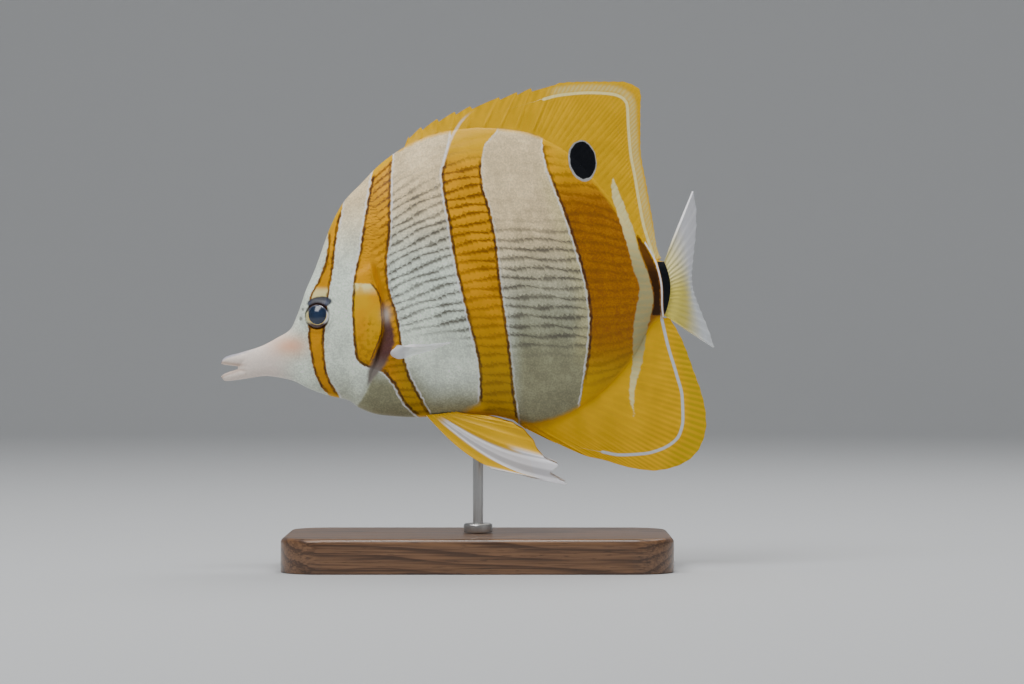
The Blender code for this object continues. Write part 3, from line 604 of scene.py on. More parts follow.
def bar_values(x, z):
    """The copper bars and what lies beside them."""
    behind = edge_distance(REAR_BAR_FRONT, x, z)
    bars, front = [behind], behind
    for edges in (EYE_BAR, GILL_BAR, MIDDLE_BAR):
        ahead, rear = edge_distance(edges[0], x, z), -edge_distance(edges[1], x, z)
        bars.append(np.minimum(ahead, rear))
        front = np.where(np.abs(rear) < np.abs(front), 9.0, front)
        front = np.where(np.abs(ahead) < np.abs(front), ahead, front)
    edge_reach = step(x, -44, -38) * (1 - step(x, 30, 36))
    tone = step(x, 18, 24) * step(z, 50, 70) * (1 - step(z, 103, 118))
    return {
        "bar": np.maximum.reduce(bars),
        "foot": bar_foot(x, z),
        "front_edge": np.where(front > 8, 0.45, 1.0) * edge_reach * (1 - bar_foot(x, z)),
        "tone": np.maximum(tone, 0.3 * (1 - step(z, 50, 100))),
        # Painted shade that dulls the lower part of the gill bar
        "low": (1 - step(z, 52, 82)) * step(x, -27, -19),
        "glow": step(behind, -6.0, -1.2) * step(x, 12, 18) * step(z, 56, 66) * (1 - step(z, 106, 120)),
    }


def panel_values(x, z):
    """The pale panels, with a duller tint that deepens towards the bottom at the rear, painted shade
    on the underside and under the chin, and the dark lines of their rows.
    """
    behind_gill = x - gill_opening(np.clip(share_at(x, z), 0, 1))
    rear_panel = step(x, -10, 5)
    up = z - belly(x)
    throat = 1 - step(x, -20, -12)
    # Painted shade on the underside and under the chin, darkest towards the belly
    under_olive = 0.9 * (1 - step(up, mix(1.5, 8.0, throat), mix(12.0, 17.0, throat)))
    under_olive = under_olive * step(behind_gill, -0.4, 0.8)
    chin_olive = 0.4 * (1 - step(up, 0.5, 10)) * step(x, -50, -38)
    rear_olive = step(x, 4, 14) * mix(0.9, 0.0, step(z, 58, 112))
    row_dark = mix(0.2 * rear_panel, 1.0, step(z, mix(64, 58, rear_panel), mix(73, 68, rear_panel)))
    row_dark = row_dark * (1 - 0.8 * step(z, mix(104, 92, rear_panel), mix(118, 106, rear_panel)))
    row_dark = row_dark * step(behind_gill, -2.0, 1.0) * step(x, -30, -24)
    return {
        "olive": np.maximum.reduce([rear_olive, under_olive, chin_olive]),
        "warm": step(z, mix(84, 66, rear_panel), mix(109, 100, rear_panel)),
        "rows": mix(0.1, 1.0, step(behind_gill, -2.5, 0.5)),
        "row_dark": row_dark * mix(1, 0.85, rear_panel),
    }


def fin_markings(x, z):
    """The yellow of the fins, the band and strip before the tail, and the lines on the fins."""
    on_back = np.minimum(z - back(x) + 0.4, 27 - np.abs(x - 4))
    on_belly = np.minimum(belly(x) + 0.6 - z, x - 12.5)
    behind_band = edge_distance(CREAM_BAND[1], x, z)
    stalk = edge_distance(STALK_LINE, x, z)
    bright = [
        0.8 * bar_foot(x, z),
        step(z, 106, 126) * step(x, 16, 24),
        step(z - back(x), -2.4, -0.6),
        step(z, 114, 124) * (1 - step(np.abs(x), 10, 14)),
        step(behind_band, -0.5, 1.0) * step(z, 84, 92),
        (1 - step(z, 44, 62)) * step(x, 22, 30),
        step(belly(x) - z, -1.6, 0.2),
        step(behind_band, -0.5, 1.5) * (1 - step(z, 66, 72)),
    ]
    dorsal_line, anal_line = path_side(DORSAL_LINE, x, z), path_side(ANAL_LINE, x, z)
    fringe = step(dorsal_line, 0.2, 0.7) * (1 - step(dorsal_line, 1.8, 3.2))
    return {
        "fin": np.maximum(on_back, on_belly),
        "bright": np.maximum.reduce(bright),
        "band": np.minimum.reduce([inside_bar(CREAM_BAND, x, z), z - 43.2, 113.2 - z]),
        "band_low": 0.8 * (1 - step(z, 84, 104)) * step(z, 52, 66),
        "dorsal_line": dorsal_line,
        "fringe": fringe * step(z - back(x), 0, 1) * step(x, 19, 24),
        "anal_line": anal_line,
        "anal_rim": step(anal_line, 0.3, 3.0) * (1 - step(z, 62, 70)) * step(x, 50, 60),
        "front_line": path_side(FRONT_LINE, x, z),
        "strip": np.minimum.reduce([behind_band, -stalk, 97.0 - z, z - 73.0]),
        "strip_low": 1 - step(z, 82, 95),
        "stalk": np.where((z > 72.5) & (z < 95), stalk, -9.0),
        "ring": np.minimum.reduce([stalk - 0.6, 88.9 - z, z - 73.5]),
    }


def eyespot_values(x, z):
    """The black eyespot and its pale ring, which is widest below and ahead."""
    spot_x, spot_z, half_length, half_height, turn = OCELLUS
    dx, dz = x - spot_x, z - spot_z
    along = dx * math.cos(turn) + dz * math.sin(turn)
    up = dz * math.cos(turn) - dx * math.sin(turn)
    ocellus = (1 - np.hypot(along / half_length, up / half_height)) * (half_length + half_height) / 2
    ring = mix(0.62, 0.32, step(along + 0.5 * up, -3.0, 3.0))
    return {"ocellus": ocellus, "halo": ocellus + ring}


def snout_values(x, z):
    """The bare snout with its flush, lips and the painted shade of its nostrils, and what surrounds
    the eye.
    """
    lips = np.minimum(np.abs(z - upper_lip(x) - 0.55), np.abs(z - lower_lip(x) + 0.55))
    pits = [bump(np.hypot(x - at_x, z - at_z), radius) for at_x, at_z, radius in NOSTRILS]
    from_eye = np.hypot(x - EYE_X, z - EYE_Z)
    return {
        "snout": 1 - step(x, -60.5, -50.5),
        "flush": bump(x + 54.2, 5.6) * bump(z - 64.4, 3.2),
        "tip_blue": (1 - step(x, -73.0, -62.0)) * step(z - back(x), -1.0, -0.2),
        # Painted shade in the nostrils
        "pit": np.maximum(*pits),
        "lips": bump(lips, 0.42) * (1 - step(x, -69.6, -66.0)),
        "brow": 1.6 * (1 - np.hypot((x + 45.8) / 3.8, (z - 76.9 - 0.1 * (x + 45.8)) / 1.8)),
        "lid_cream": (1 - step(z, 79.9, 81.8)) * step(z, 76.0, 77.5) * (1 - step(x, -42.6, -41.6)),
        "eye_ring": (1 - step(from_eye, 3.5, 4.1)) * step(np.abs(z - EYE_Z), 0.8, 2.6),
    }


def gill_values(x, z):
    """The gill cover's yellow plate, with a painted highlight along its top and painted shade low
    down, and the mauve skin behind its edge with a painted highlight near the top.
    """
    edge = edge_distance(GILL_PLATE_REAR, x, z)
    return {
        "plate": np.minimum.reduce([-edge, 82.5 - z, z - 57.0, x + 38.0]),
        "plate_line": edge,
        "plate_side": step(z, 59.4, 60.4) * (1 - step(z, 81.8, 82.8)) * step(x, -40, -38),
        # Painted shade over the plate's lower part, where brown mottling also gathers
        "plate_low": 1 - step(z, 59, 75),
        "plate_spot": bump(np.hypot((x + 31.3) / 1.6, (z - 69.4) / 2.8), 1.0),
        # Painted highlight along the top of the plate
        "shine": step(z, 78.4, 82.0) * bump((x + 32.8) / 5.0, 1.0) ** 0.5,
        "gill": np.minimum(edge, gill_gap(z) - edge),
        "gill_share": edge / np.maximum(gill_gap(z), 0.1),
        # Painted highlight near the top of the gill opening
        "gill_light": bump((x + 26.3) / 1.3, 1.0) * bump((z - 73.4) / 2.2, 1.0),
        "gill_low": 1 - step(z, 56.5, 62.5),
    }


def markings(x, z):
    """Where each marking lies, as a share or as millimetres inside its edge, in the side view."""
    values = {}
    for part in (bar_values, panel_values, fin_markings, eyespot_values, snout_values, gill_values):
        values.update(part(x, z))
    return values


def paint(data, values):
    """Keeps a number for each point of a mesh under each name."""
    for name, numbers in values.items():
        layer = data.attributes.new(name, "FLOAT", "POINT")
        layer.data.foreach_set("value", np.asarray(numbers, np.float32).ravel())


def points_of(data):
    flat = np.empty(len(data.vertices) * 3)
    data.vertices.foreach_get("co", flat)
    return flat.reshape(-1, 3)


def set_points(data, points):
    data.vertices.foreach_set("co", np.ascontiguousarray(points, np.float32).ravel())
    data.update()


def turn_out(data):
    """Turns the faces of a closed mesh outwards."""
    points = points_of(data)
    data.calc_loop_triangles()
    corners = np.empty(len(data.loop_triangles) * 3, int)
    data.loop_triangles.foreach_get("vertices", corners)
    a, b, c = points[corners.reshape(-1, 3)].transpose(1, 0, 2)
    if np.einsum("ij,ij->", a, np.cross(b, c)) < 0:
        data.flip_normals()


def new_object(data):
    thing = bpy.data.objects.new(data.name, data)
    bpy.context.scene.collection.objects.link(thing)
    return thing


def mesh_data(name, mesh):
    """The finished mesh of a bmesh, which is freed."""
    data = bpy.data.meshes.new(name)
    mesh.to_mesh(data)
    mesh.free()
    return data


def closed_data(name, mesh):
    """The finished mesh of a closed bmesh, with its faces turned outwards."""
    bmesh.ops.recalc_face_normals(mesh, faces=mesh.faces)
    data = mesh_data(name, mesh)
    turn_out(data)
    return data


def grid_plate(columns, rows):
    """A closed plate of cells, from -0.5 to 0.5 in X and Y and from 0 to 1 in Z."""
    mesh = bmesh.new()
    bmesh.ops.create_grid(mesh, x_segments=columns, y_segments=rows, size=0.5)
    grown = bmesh.ops.extrude_face_region(mesh, geom=mesh.faces[:])["geom"]
    far_side = [vert for vert in grown if isinstance(vert, bmesh.types.BMVert)]
    bmesh.ops.translate(mesh, verts=far_side, vec=(0, 0, 1))
    bmesh.ops.recalc_face_normals(mesh, faces=mesh.faces)
    return mesh


def slab(name, left, right, **values):
    """A closed solid between two like grids of points, in millimetres, with numbers for each point."""
    columns, rows = left.shape[0] - 1, left.shape[1] - 1
    data = mesh_data(name, grid_plate(columns, rows))
    unit = points_of(data)
    column = np.rint((unit[:, 0] + 0.5) * columns).astype(int)
    row = np.rint((unit[:, 1] + 0.5) * rows).astype(int)
    far = unit[:, 2:] > 0.5
    set_points(data, np.where(far, right[column, row], left[column, row]) * MM)
    turn_out(data)
    paint(data, {key: numbers[column, row] for key, numbers in values.items()})
    return data


def upright_slab(name, x, half, z):
    """A closed solid as wide on the left as on the right, from grids of its X, half width and Z."""
    return slab(name, np.stack([x, -half, z], axis=2), np.stack([x, half, z], axis=2))


def membrane(name, middle, half, ray, reach):
    """A closed sheet of the given half thickness on either side of a grid of points."""
    across = np.cross(np.gradient(middle, axis=0), np.gradient(middle, axis=1))
    across /= np.maximum(np.linalg.norm(across, axis=2, keepdims=True), 1e-9)
    offset = across * half[..., None]
    return slab(name, middle - offset, middle + offset, ray=ray, reach=reach)


def place_object(data, material, nodes=()):
    """An object that rides on the body and stands for the given nodes."""
    data.materials.append(material)
    data.shade_smooth()
    data.set_sharp_from_angle(angle=RIM_ANGLE)
    thing = new_object(data)
    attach(thing, "root")
    if nodes:
        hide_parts(*nodes)


def fuse(name, meshes):
    """One closed mesh from several closed meshes that cross."""
    scene = bpy.context.scene
    body = bpy.data.objects.new(name, meshes[0])
    scene.collection.objects.link(body)
    group = bpy.data.collections.new(name + "_pieces")
    scene.collection.children.link(group)
    pieces = [bpy.data.objects.new(mesh.name, mesh) for mesh in meshes[1:]]
    for piece in pieces:
        group.objects.link(piece)
    modifier = body.modifiers.new("fuse", "BOOLEAN")
    modifier.operation = "UNION"
    modifier.operand_type = "COLLECTION"
    modifier.collection = group
    modifier.solver = "MANIFOLD"
    graph = bpy.context.evaluated_depsgraph_get()
    result = bpy.data.meshes.new_from_object(body.evaluated_get(graph))
    for piece in pieces + [body]:
        bpy.data.objects.remove(piece)
    bpy.data.collections.remove(group)
    result.name = name
    result.materials.clear()
    return result


def stalk_rear(share):
    return STALK_REAR_X + STALK_REAR_BULGE * (1 - (2 * share - 1) ** 2)


def bent_columns(x_values, first, last):
    """Upright columns of points that bend from the line of the first to that of the last."""
    ways = (x_values - x_values[0]) / (x_values[-1] - x_values[0])
    return [mix(first, last, way) for way in ways]


def flank_mesh():
    """The body from the corner of the mouth to the root of the tail fin."""
    shares = spaced(0, 1, smooth(SIDE_PITCH))
    front = spaced(MOUTH_CORNER_X, GILL_MIDDLE_X, smooth(HEAD_PITCH))
    rear = spaced(GILL_MIDDLE_X, STALK_REAR_X, smooth(BODY_PITCH))
    columns = bent_columns(front, MOUTH_CORNER_X, gill_opening(shares))[:-1]
    columns += bent_columns(rear, gill_opening(shares), stalk_rear(shares))
    x = np.array(columns)
    share = np.broadcast_to(shares, x.shape)
    half = skin_half(x, share) * mix(0.6, 1, step(x, MOUTH_CORNER_X, -67.3))
    return upright_slab("flank", x, half, mix(belly(x), back(x), share))


def jaw_mesh(name, low, high):
    """A jaw from its tip to inside the snout, an oval with a swollen lip."""
    shares = (1 - np.cos(np.linspace(0, math.pi, 23))) / 2
    x = np.linspace(BACK[0][0] + 0.1, JAW_REAR_X, 36)[:, None] + 0 * shares
    share = np.broadcast_to(shares, x.shape)
    round_end = np.sqrt(1 - (1 - np.clip(x - x[0, 0], 0.04, 1)) ** 2)
    top, bottom = high(x), low(x)
    middle = (top + bottom) / 2
    sunk = mix(1.0, 0.82, step(x, -69.4, -67.6))
    z = middle + (mix(bottom, top, share) - middle) * mix(0.5, 1, round_end) * sunk
    oval = np.sqrt(np.clip(4 * share * (1 - share), 0, 1))
    lip_share = share if high is not back else 1 - share
    lip = 0.12 * bump(lip_share - 0.86, 0.1) * (1 - step(x, -71, -68.5))
    swell = mix(1.02, 0.9, step(x, -69.6, -67.5))
    half = (mix(LIP_EDGE * 0.5, half_width(x) * swell, oval) + lip) * mix(0.35, 1, round_end)
    return upright_slab(name, x, half, z)


def ray_numbers(count, parts_after):
    """Ray numbers from the first ray to the last, with the given steps after each ray."""
    steps = [number + part for number in range(count - 1) for part in parts_after(number)]
    return np.array(steps + [count - 1.0])


def fin_mesh(name, fin):
    """A fin of the middle plane whose root is sunk into the flesh."""
    rays = ray_numbers(fin.count, lambda number: SPINE_PARTS if number < fin.spines else SOFT_PARTS)
    along = np.concatenate([[0.0, 0.03, 0.06], np.linspace(0.09, 0.93, 29), [0.955, 0.98, 1.0]])
    ray, reach = np.meshgrid(rays, along, indexing="ij")
    root, tip = fin.line(ray)
    reach = reach * (1 - fin.notch(ray) / np.linalg.norm(tip - root, axis=2))
    root_x = fin.root_x(rays)
    sunk = [
        outline_point(fin.profile, root_x, np.full(len(rays), -fin.side * depth))
        for depth in (FIN_SINK, FIN_SINK / 2)
    ]
    plane = np.concatenate([np.stack(sunk, axis=1), mix(root, tip, reach[..., None])], axis=1)
    root_half = np.repeat(fin.edge(root_x)[:, None] - 0.14, len(sunk), axis=1)
    half = np.concatenate([root_half, fin.half(ray, reach)], axis=1)
    return upright_slab(name, plane[..., 0], half, plane[..., 1])


def soften_joins(data):
    """Rounds the creases where the fins and jaws grow out of the flesh."""
    mesh = bmesh.new()
    mesh.from_mesh(data)
    creased, mouth = [], []
    for vert in mesh.verts:
        x, z = vert.co.x / MM, vert.co.z / MM
        over, under = abs(z - float(back(x))), abs(float(belly(x)) - z)
        if (-22.5 < x < 53 and over < JOIN_REACH) or (10 < x < 53 and under < JOIN_REACH):
            creased.append(vert)
        if -71.3 < x < -65.8:
            mouth.append(vert)
    for verts, axes in ((mouth, "xyz"), (creased, "y")):
        free = {f"use_axis_{axis}": True for axis in axes}
        for _ in range(4):
            bmesh.ops.smooth_vert(mesh, verts=verts, factor=0.5, **free)
    mesh.to_mesh(data)
    mesh.free()


def fin_values(x, z):
    """The ray number and the share along it, 0 on the flesh."""
    ray, reach = np.zeros(len(x)), np.zeros(len(x))
    for fin, off in ((DORSAL_FIN, z - back(x)), (ANAL_FIN, belly(x) - z)):
        on = np.nonzero((off > 0) & (x > -24))[0]
        found, along = fin.find(x[on], z[on])
        ray[on] = found
        reach[on] = np.clip(along, 0, 1)
    return {"ray": ray, "reach": reach}


def make_skin():
    pieces = [
        flank_mesh(),
        jaw_mesh("upper", upper_lip, back),
        jaw_mesh("lower", belly, lower_lip),
        fin_mesh("dorsal", DORSAL_FIN),
        fin_mesh("anal", ANAL_FIN),
    ]
    data = fuse("fish_skin", pieces)
    soften_joins(data)
    x, _, z = (points_of(data) / MM).T
    plain = {"along_scale": 0.35, "across_scale": 0.6, "scale_shade": 0.4}
    values = {name: np.full(len(x), number) for name, number in plain.items()}
    paint(data, {**markings(x, z), **fin_values(x, z), **values})
    place_object(data, skin_material(), FLESH_NODES)


class RowMap:
    """Where rows of scales run: the share of the body's height at X and a distance up its side."""

    def __init__(self, x_range, start_z, slope, size):
        self.x = np.arange(*x_range, ROW_MAP_ALONG)
        self.row = np.arange(-75, 85, ROW_MAP_UP)
        climb = np.cumsum(slope(self.x)) * ROW_MAP_ALONG
        climb -= np.interp(0.0, self.x, climb)
        shares = (1 - np.cos(np.linspace(0, math.pi, 300))) / 2
        table = []
        for x, rise in zip(self.x, climb):
            z = mix(belly(x), back(x), shares)
            half = flesh_half(x, shares)
            girth = np.concatenate([[0], np.cumsum(np.hypot(np.diff(z), np.diff(half)))])
            girth -= np.interp(start_z, z, girth)
            wave = 0.3 * np.sin(x / 2.7 + self.row * 0.8) + 0.16 * np.sin(x / 1.2 + self.row * 2.3)
            up = self.row * size(x) + rise * row_slope_share(self.row) + wave * step(x, -30, -20)
            table.append(np.interp(up, girth, shares, left=-0.1, right=1.1))
        self.table = np.array(table)

    def share(self, x, row):
        """The share of the height, read between the lines of the table."""
        a = np.clip((x - self.x[0]) / ROW_MAP_ALONG, 0, len(self.x) - 1.001)
        b = np.clip((row - self.row[0]) / ROW_MAP_UP, 0, len(self.row) - 1.001)
        i, j = a.astype(int), b.astype(int)
        low = mix(self.table[i, j], self.table[i, j + 1], b - j)
        high = mix(self.table[i + 1, j], self.table[i + 1, j + 1], b - j)
        return mix(low, high, a - i)

    def surface(self, x, row):
        share = np.clip(self.share(x, row), 0.001, 0.999)
        return np.stack([x, skin_half(x, share), mix(belly(x), back(x), share)], axis=-1)


class Coat:
    """Scales of one side, gathered before they are joined in one mesh."""

    def __init__(self, kind, word, side, random):
        self.name, self.side, self.random = f"scales_{kind}_{word}", side, random
        cells, self.length, self.half, self.lift, self.taper = SCALE_SHAPES[kind]
        mesh = grid_plate(*cells)
        unit = np.array([vert.co for vert in mesh.verts])
        self.along, self.across, self.depth = (unit * (1, 2, 1) + (0.5, 0, 0)).T
        self.plate_faces = np.array([[vert.index for vert in face.verts] for face in mesh.faces])
        mesh.free()
        self.points, self.faces, self.values, self.maps = [], [], [], []

    def lay(self, surface, roots, along_step, across_step, unwrap):
        """Adds a scale at each root, as two numbers that the surface takes."""
        along, across, lift = self.along, self.across, self.lift
        a, b = np.array(roots).T[..., None]
        size = self.random.uniform(0.94, 1.06, a.shape)
        wide = mix(0.72, 1.0, step(along, 0.0, 0.55)) * (1 - self.taper * along ** 3)
        rear = along * (1 - 0.24 * across ** 2 * along)
        a_at = a + rear * self.length * np.reshape(along_step, (-1, 1)) * size
        b_at = b + across * wide * self.half * np.reshape(across_step, (-1, 1)) * size
        place = surface(a_at, b_at)
        normal = np.cross(surface(a_at, b_at + 0.02) - place, surface(a_at + 0.05, b_at) - place)
        normal /= np.maximum(np.linalg.norm(normal, axis=2, keepdims=True), 1e-9)
        normal *= np.where(normal[..., 1:2] < 0, -1, 1)
        rise = mix(-lift, lift, along) * self.random.uniform(0.8, 1.2, a.shape)
        rise = rise - 1.5 * lift * across ** 2 + 0.7 * lift * across + 0.04 - 0.08 * (1 - self.depth)
        flat = ((place + normal * rise[..., None]) * (1, self.side, 1)).reshape(-1, 3)
        starts = sum(map(len, self.points)) + np.arange(len(a)) * len(along)
        faces = self.plate_faces if self.side > 0 else self.plate_faces[:, ::-1]
        self.faces.append((starts[:, None, None] + faces).reshape(-1, 4))
        self.points.append(flat)

        x, _, z = flat.T
        own = {
            "along_scale": 0 * a + along,
            "across_scale": 0 * a + across,
            "scale_shade": self.random.uniform(0, 1, a.shape) + 0 * along,
        }
        own = {name: numbers.ravel() for name, numbers in own.items()}
        self.values.append({**markings(x, z), **fin_values(x, z), **own})
        u, v = unwrap(a, b)
        patch = np.stack([u + (along - 0.5) * BAKE_PATCH, v + across * BAKE_PATCH / 2], axis=2)
        self.maps.append(patch.reshape(-1, 2))

    def finish(self):
        data = bpy.data.meshes.new(self.name)
        points = np.concatenate(self.points) * MM
        faces = np.concatenate(self.faces)
        data.vertices.add(len(points))
        data.loops.add(faces.size)
        data.polygons.add(len(faces))
        data.loops.foreach_set("vertex_index", faces.ravel())
        data.polygons.foreach_set("loop_start", np.arange(0, faces.size, 4))
        set_points(data, points)
        data.update(calc_edges=True)
        turn_out(data)
        names = self.values[0].keys()
        paint(data, {name: np.concatenate([values[name] for values in self.values]) for name in names})
        corners = np.empty(len(data.loops), int)
        data.loops.foreach_get("vertex_index", corners)
        layer = data.uv_layers.new(name="OFBake")
        layer.data.foreach_set("uv", np.concatenate(self.maps)[corners].astype(np.float32).ravel())
        place_object(data, skin_material())


def lattice(x_range, row_range, step_x, step_row, random):
    """Roots in rows, with every second row set half a step on."""
    roots = []
    for number, row in enumerate(np.arange(*row_range, step_row)):
        start = x_range[0] + (number % 2) * step_x / 2
        for x in np.arange(start, x_range[1], step_x):
            roots.append((x, row + random.uniform(-0.04, 0.04) * step_row))
    return np.array(roots)


def flank_unwrap(x, row):
    """Where a scale's root lies on the side's own unrolled surface, in a unit square."""
    return (x + 76) / 150, (row + 58) / 116


def lay_flank_scales(coat, rows, row_height, scale_step):
    """Large scales in rows, from the gill opening to the root of the tail fin."""
    roots = lattice(*FLANK_ROOTS, scale_step, row_height, coat.random)
    roots[:, 0] += coat.random.uniform(-0.14, 0.14, len(roots)) * scale_step
    x, share = roots[:, 0], rows.share(*roots.T)
    start = gill_opening(share) + 0.2 + 3.0 * step(share, COVER_HIGH, COVER_HIGH + 0.15)
    keep = (share > 0.004) & (share < 0.996) & (x > start) & (x < stalk_rear(share) - 1.9)
    roots = roots[keep]
    coat.lay(rows.surface, roots, scale_step * row_size(roots[:, 0]), row_height, flank_unwrap)


def lay_head_scales(coat, rows, spacing):
    """Fine scales over the head, away from the eye and the nostrils."""
    roots = lattice(*HEAD_ROOTS, spacing, 1.15 * spacing, coat.random)
    roots += coat.random.uniform(-0.42, 0.42, roots.shape) * spacing
    x, share = roots[:, 0], rows.share(*roots.T)
    z = mix(belly(x), back(x), share)
    end = gill_opening(share) - 1.4 + 5.6 * step(share, COVER_HIGH, COVER_HIGH + 0.15)
    keep = (share > 0.01) & (share < 0.99) & (x < end)
    for bare_x, bare_z, radius in BARE_PLACES:
        keep &= np.hypot(x - bare_x, z - bare_z) > radius
    coat.lay(rows.surface, roots[keep], spacing, spacing, flank_unwrap)


def lay_fin_scales(coat, fin, first, reach, spacing):
    """Small scales in rows along the rays, over the inner part of a fin."""
    numbers = np.arange(fin.count)
    lengths = np.linalg.norm(np.subtract(*fin.line(numbers.astype(float))), axis=1)

    def surface(along_mm, ray):
        ray = np.clip(ray, 0, fin.count - 1)
        along = along_mm / np.interp(ray, numbers, lengths)
        plane = fin.place(ray, along)
        return np.stack([plane[..., 0], fin.half(ray, along), plane[..., 1]], axis=-1)

    def unwrap(along_mm, ray):
        place = surface(along_mm, ray)
        return (place[..., 0] + 30) / 110, (place[..., 2] - 25) / 120

    def pitch(ray):
        return mix(0.25, 0.5, step(ray, fin.spines - 1.5, fin.spines + 0.5))

    roots = []
    for number, ray in enumerate(spaced(first, fin.count - 3.4, pitch)):
        end = reach * np.interp(ray, numbers, lengths) * step(ray, first - 2, first + 7)
        start = -0.5 + (number % 2) * spacing / 2
        for along in np.arange(start, end + coat.random.uniform(-1, 1), spacing):
            roots.append((along, ray))
    coat.lay(surface, roots, spacing, pitch(np.array(roots)[:, 1]), unwrap)


def make_scales():
    sizes = bpy.context.scene.fish_sizes
    flank = RowMap(FLANK_ROWS_X, ROW_START_Z, row_slope, row_size)
    head = RowMap(HEAD_ROWS_X, HEAD_ROW_START_Z, np.zeros_like, np.ones_like)
    for word, side in SIDES:
        random = np.random.default_rng(sizes.seed + side)
        coats = {kind: Coat(kind, word, side, random) for kind in SCALE_SHAPES}
        lay_flank_scales(coats["flank"], flank, sizes.row_height / MM, sizes.scale_step / MM)
        lay_head_scales(coats["head"], head, sizes.head_scale / MM)
        for fin, first, reach in FIN_COATS:
            lay_fin_scales(coats["fins"], fin, first, reach, sizes.small_scale / MM)
        for coat in coats.values():
            coat.finish()


def eye_place(side):
    """From an eye's own frame, looking along +Z, to its place on the head."""
    y = side * (flesh_half(EYE_X, share_at(EYE_X, EYE_Z)) - EYE_SINK)
    turn = Matrix.Rotation(side * EYE_TURN, 4, "Z") @ Matrix.Rotation(-side * math.pi / 2, 4, "X")
    return Matrix.Translation((EYE_X, y, EYE_Z)) @ turn


def make_eyes():
    material = eye_material()
    radius = EYE_RADIUS - EYE_PLAY
    for word, side in SIDES:
        mesh = bmesh.new()
        bmesh.ops.create_uvsphere(mesh, u_segments=64, v_segments=40, radius=1)
        bmesh.ops.scale(mesh, vec=(radius, radius, EYE_DOME - EYE_PLAY), verts=mesh.verts)
        for vert in mesh.verts:
            off = math.hypot(vert.co.x, vert.co.y) / radius
            if vert.co.z > 0:
                vert.co.z *= 1 - EYE_FLATTENING * float(step(off, 0.3, 0.8))
        bmesh.ops.transform(mesh, matrix=eye_place(side), verts=mesh.verts)
        bmesh.ops.scale(mesh, vec=(MM, MM, MM), verts=mesh.verts)
        data = closed_data("eyeball_" + word, mesh)
        x, _, z = (points_of(data) / MM - (EYE_X, 0, EYE_Z)).T
        rear = x / math.cos(EYE_TURN)
        paint(data, {
            "from_pupil": np.hypot(rear - 0.05, z - 0.4),
            "from_middle": np.hypot(rear, z),
            "back": rear,
            "up": z,
        })
        place_object(data, material, ["eye_" + word])


def swept_line(root, heading, rise, length, along):
    """Points along a ray that turns in plan, from its heading at each share of its length."""
    steps = 80
    share = (np.arange(steps) + 0.5) / steps
    turn, tilt = heading(share), rise(share)
    run = np.stack([np.cos(turn) * np.cos(tilt), np.sin(turn) * np.cos(tilt), np.sin(tilt)], axis=1)
    points = np.vstack([[root], root + np.cumsum(run * length / steps, axis=0)])
    at = along * steps
    low = np.clip(np.floor(at).astype(int), 0, steps - 1)
    return mix(points[low], points[low + 1], (at - low)[:, None])


def fan(name, lines, halves, inwards, along, rays):
    """A closed fin from its lines of points, with its root carried on into the body."""
    lines, halves = np.array(lines), np.array(halves)
    lines = np.concatenate([lines[:, :1] + inwards, lines], axis=1)
    halves = np.concatenate([halves[:, :1], halves], axis=1)
    reach = np.concatenate([[0], along]) + np.zeros_like(halves)
    ray = np.linspace(0, rays - 1, len(lines))[:, None] + np.zeros_like(halves)
    return membrane(name, lines, halves, ray, reach)


def from_ray(share, rays):
    """How far a share of a fan lies from its nearest ray, in spaces between rays."""
    return abs(share * (rays - 1) - round(share * (rays - 1)))


def ray_length(length, off):
    """A ray's length, which falls back a little between the tips."""
    return float(length) - 0.45 * math.sin(math.pi * off) ** 2 - 0.1


def make_tail_fin():
    tilt, length, sweep = smooth(TAIL_TILT), smooth(TAIL_LENGTH), smooth(TAIL_SWEEP)
    along = np.linspace(0, 1, 36) ** 1.3
    lines, halves = [], []
    for share in np.linspace(0, 1, (TAIL_RAYS - 1) * RAY_PARTS + 1):
        bend = 1 - 0.28 * (2 * share - 1) ** 2
        x = float(stalk_rear(1 - share))
        off = from_ray(share, TAIL_RAYS)
        lines.append(swept_line(
            (x - 0.15, 0.0, mix(float(back(x)) - 0.5, float(belly(x)) + 0.5, share)),
            lambda at: bend * sweep(at),
            lambda at: np.arctan(np.tan(tilt(share)) * np.cos(bend * sweep(at))),
            ray_length(length(share), off),
            along,
        ))
        root_half = max(float(flesh_half(x, 1 - share)) - 0.75, 0.35)
        ridge = 0.2 * split_ridge(off, along, *TAIL_SPLIT_SHARES) * (1 - 0.6 * along)
        edge = 0.2 * (1 - along) if share in (0.0, 1.0) else 0.0
        halves.append(mix(root_half, 0.14, along ** 0.42) + ridge + edge)
    data = fan("tail_fin", lines, halves, (-1.2, 0, 0), along, TAIL_RAYS)
    place_object(data, clear_fin_material("tail"), ["caudal_fin"])


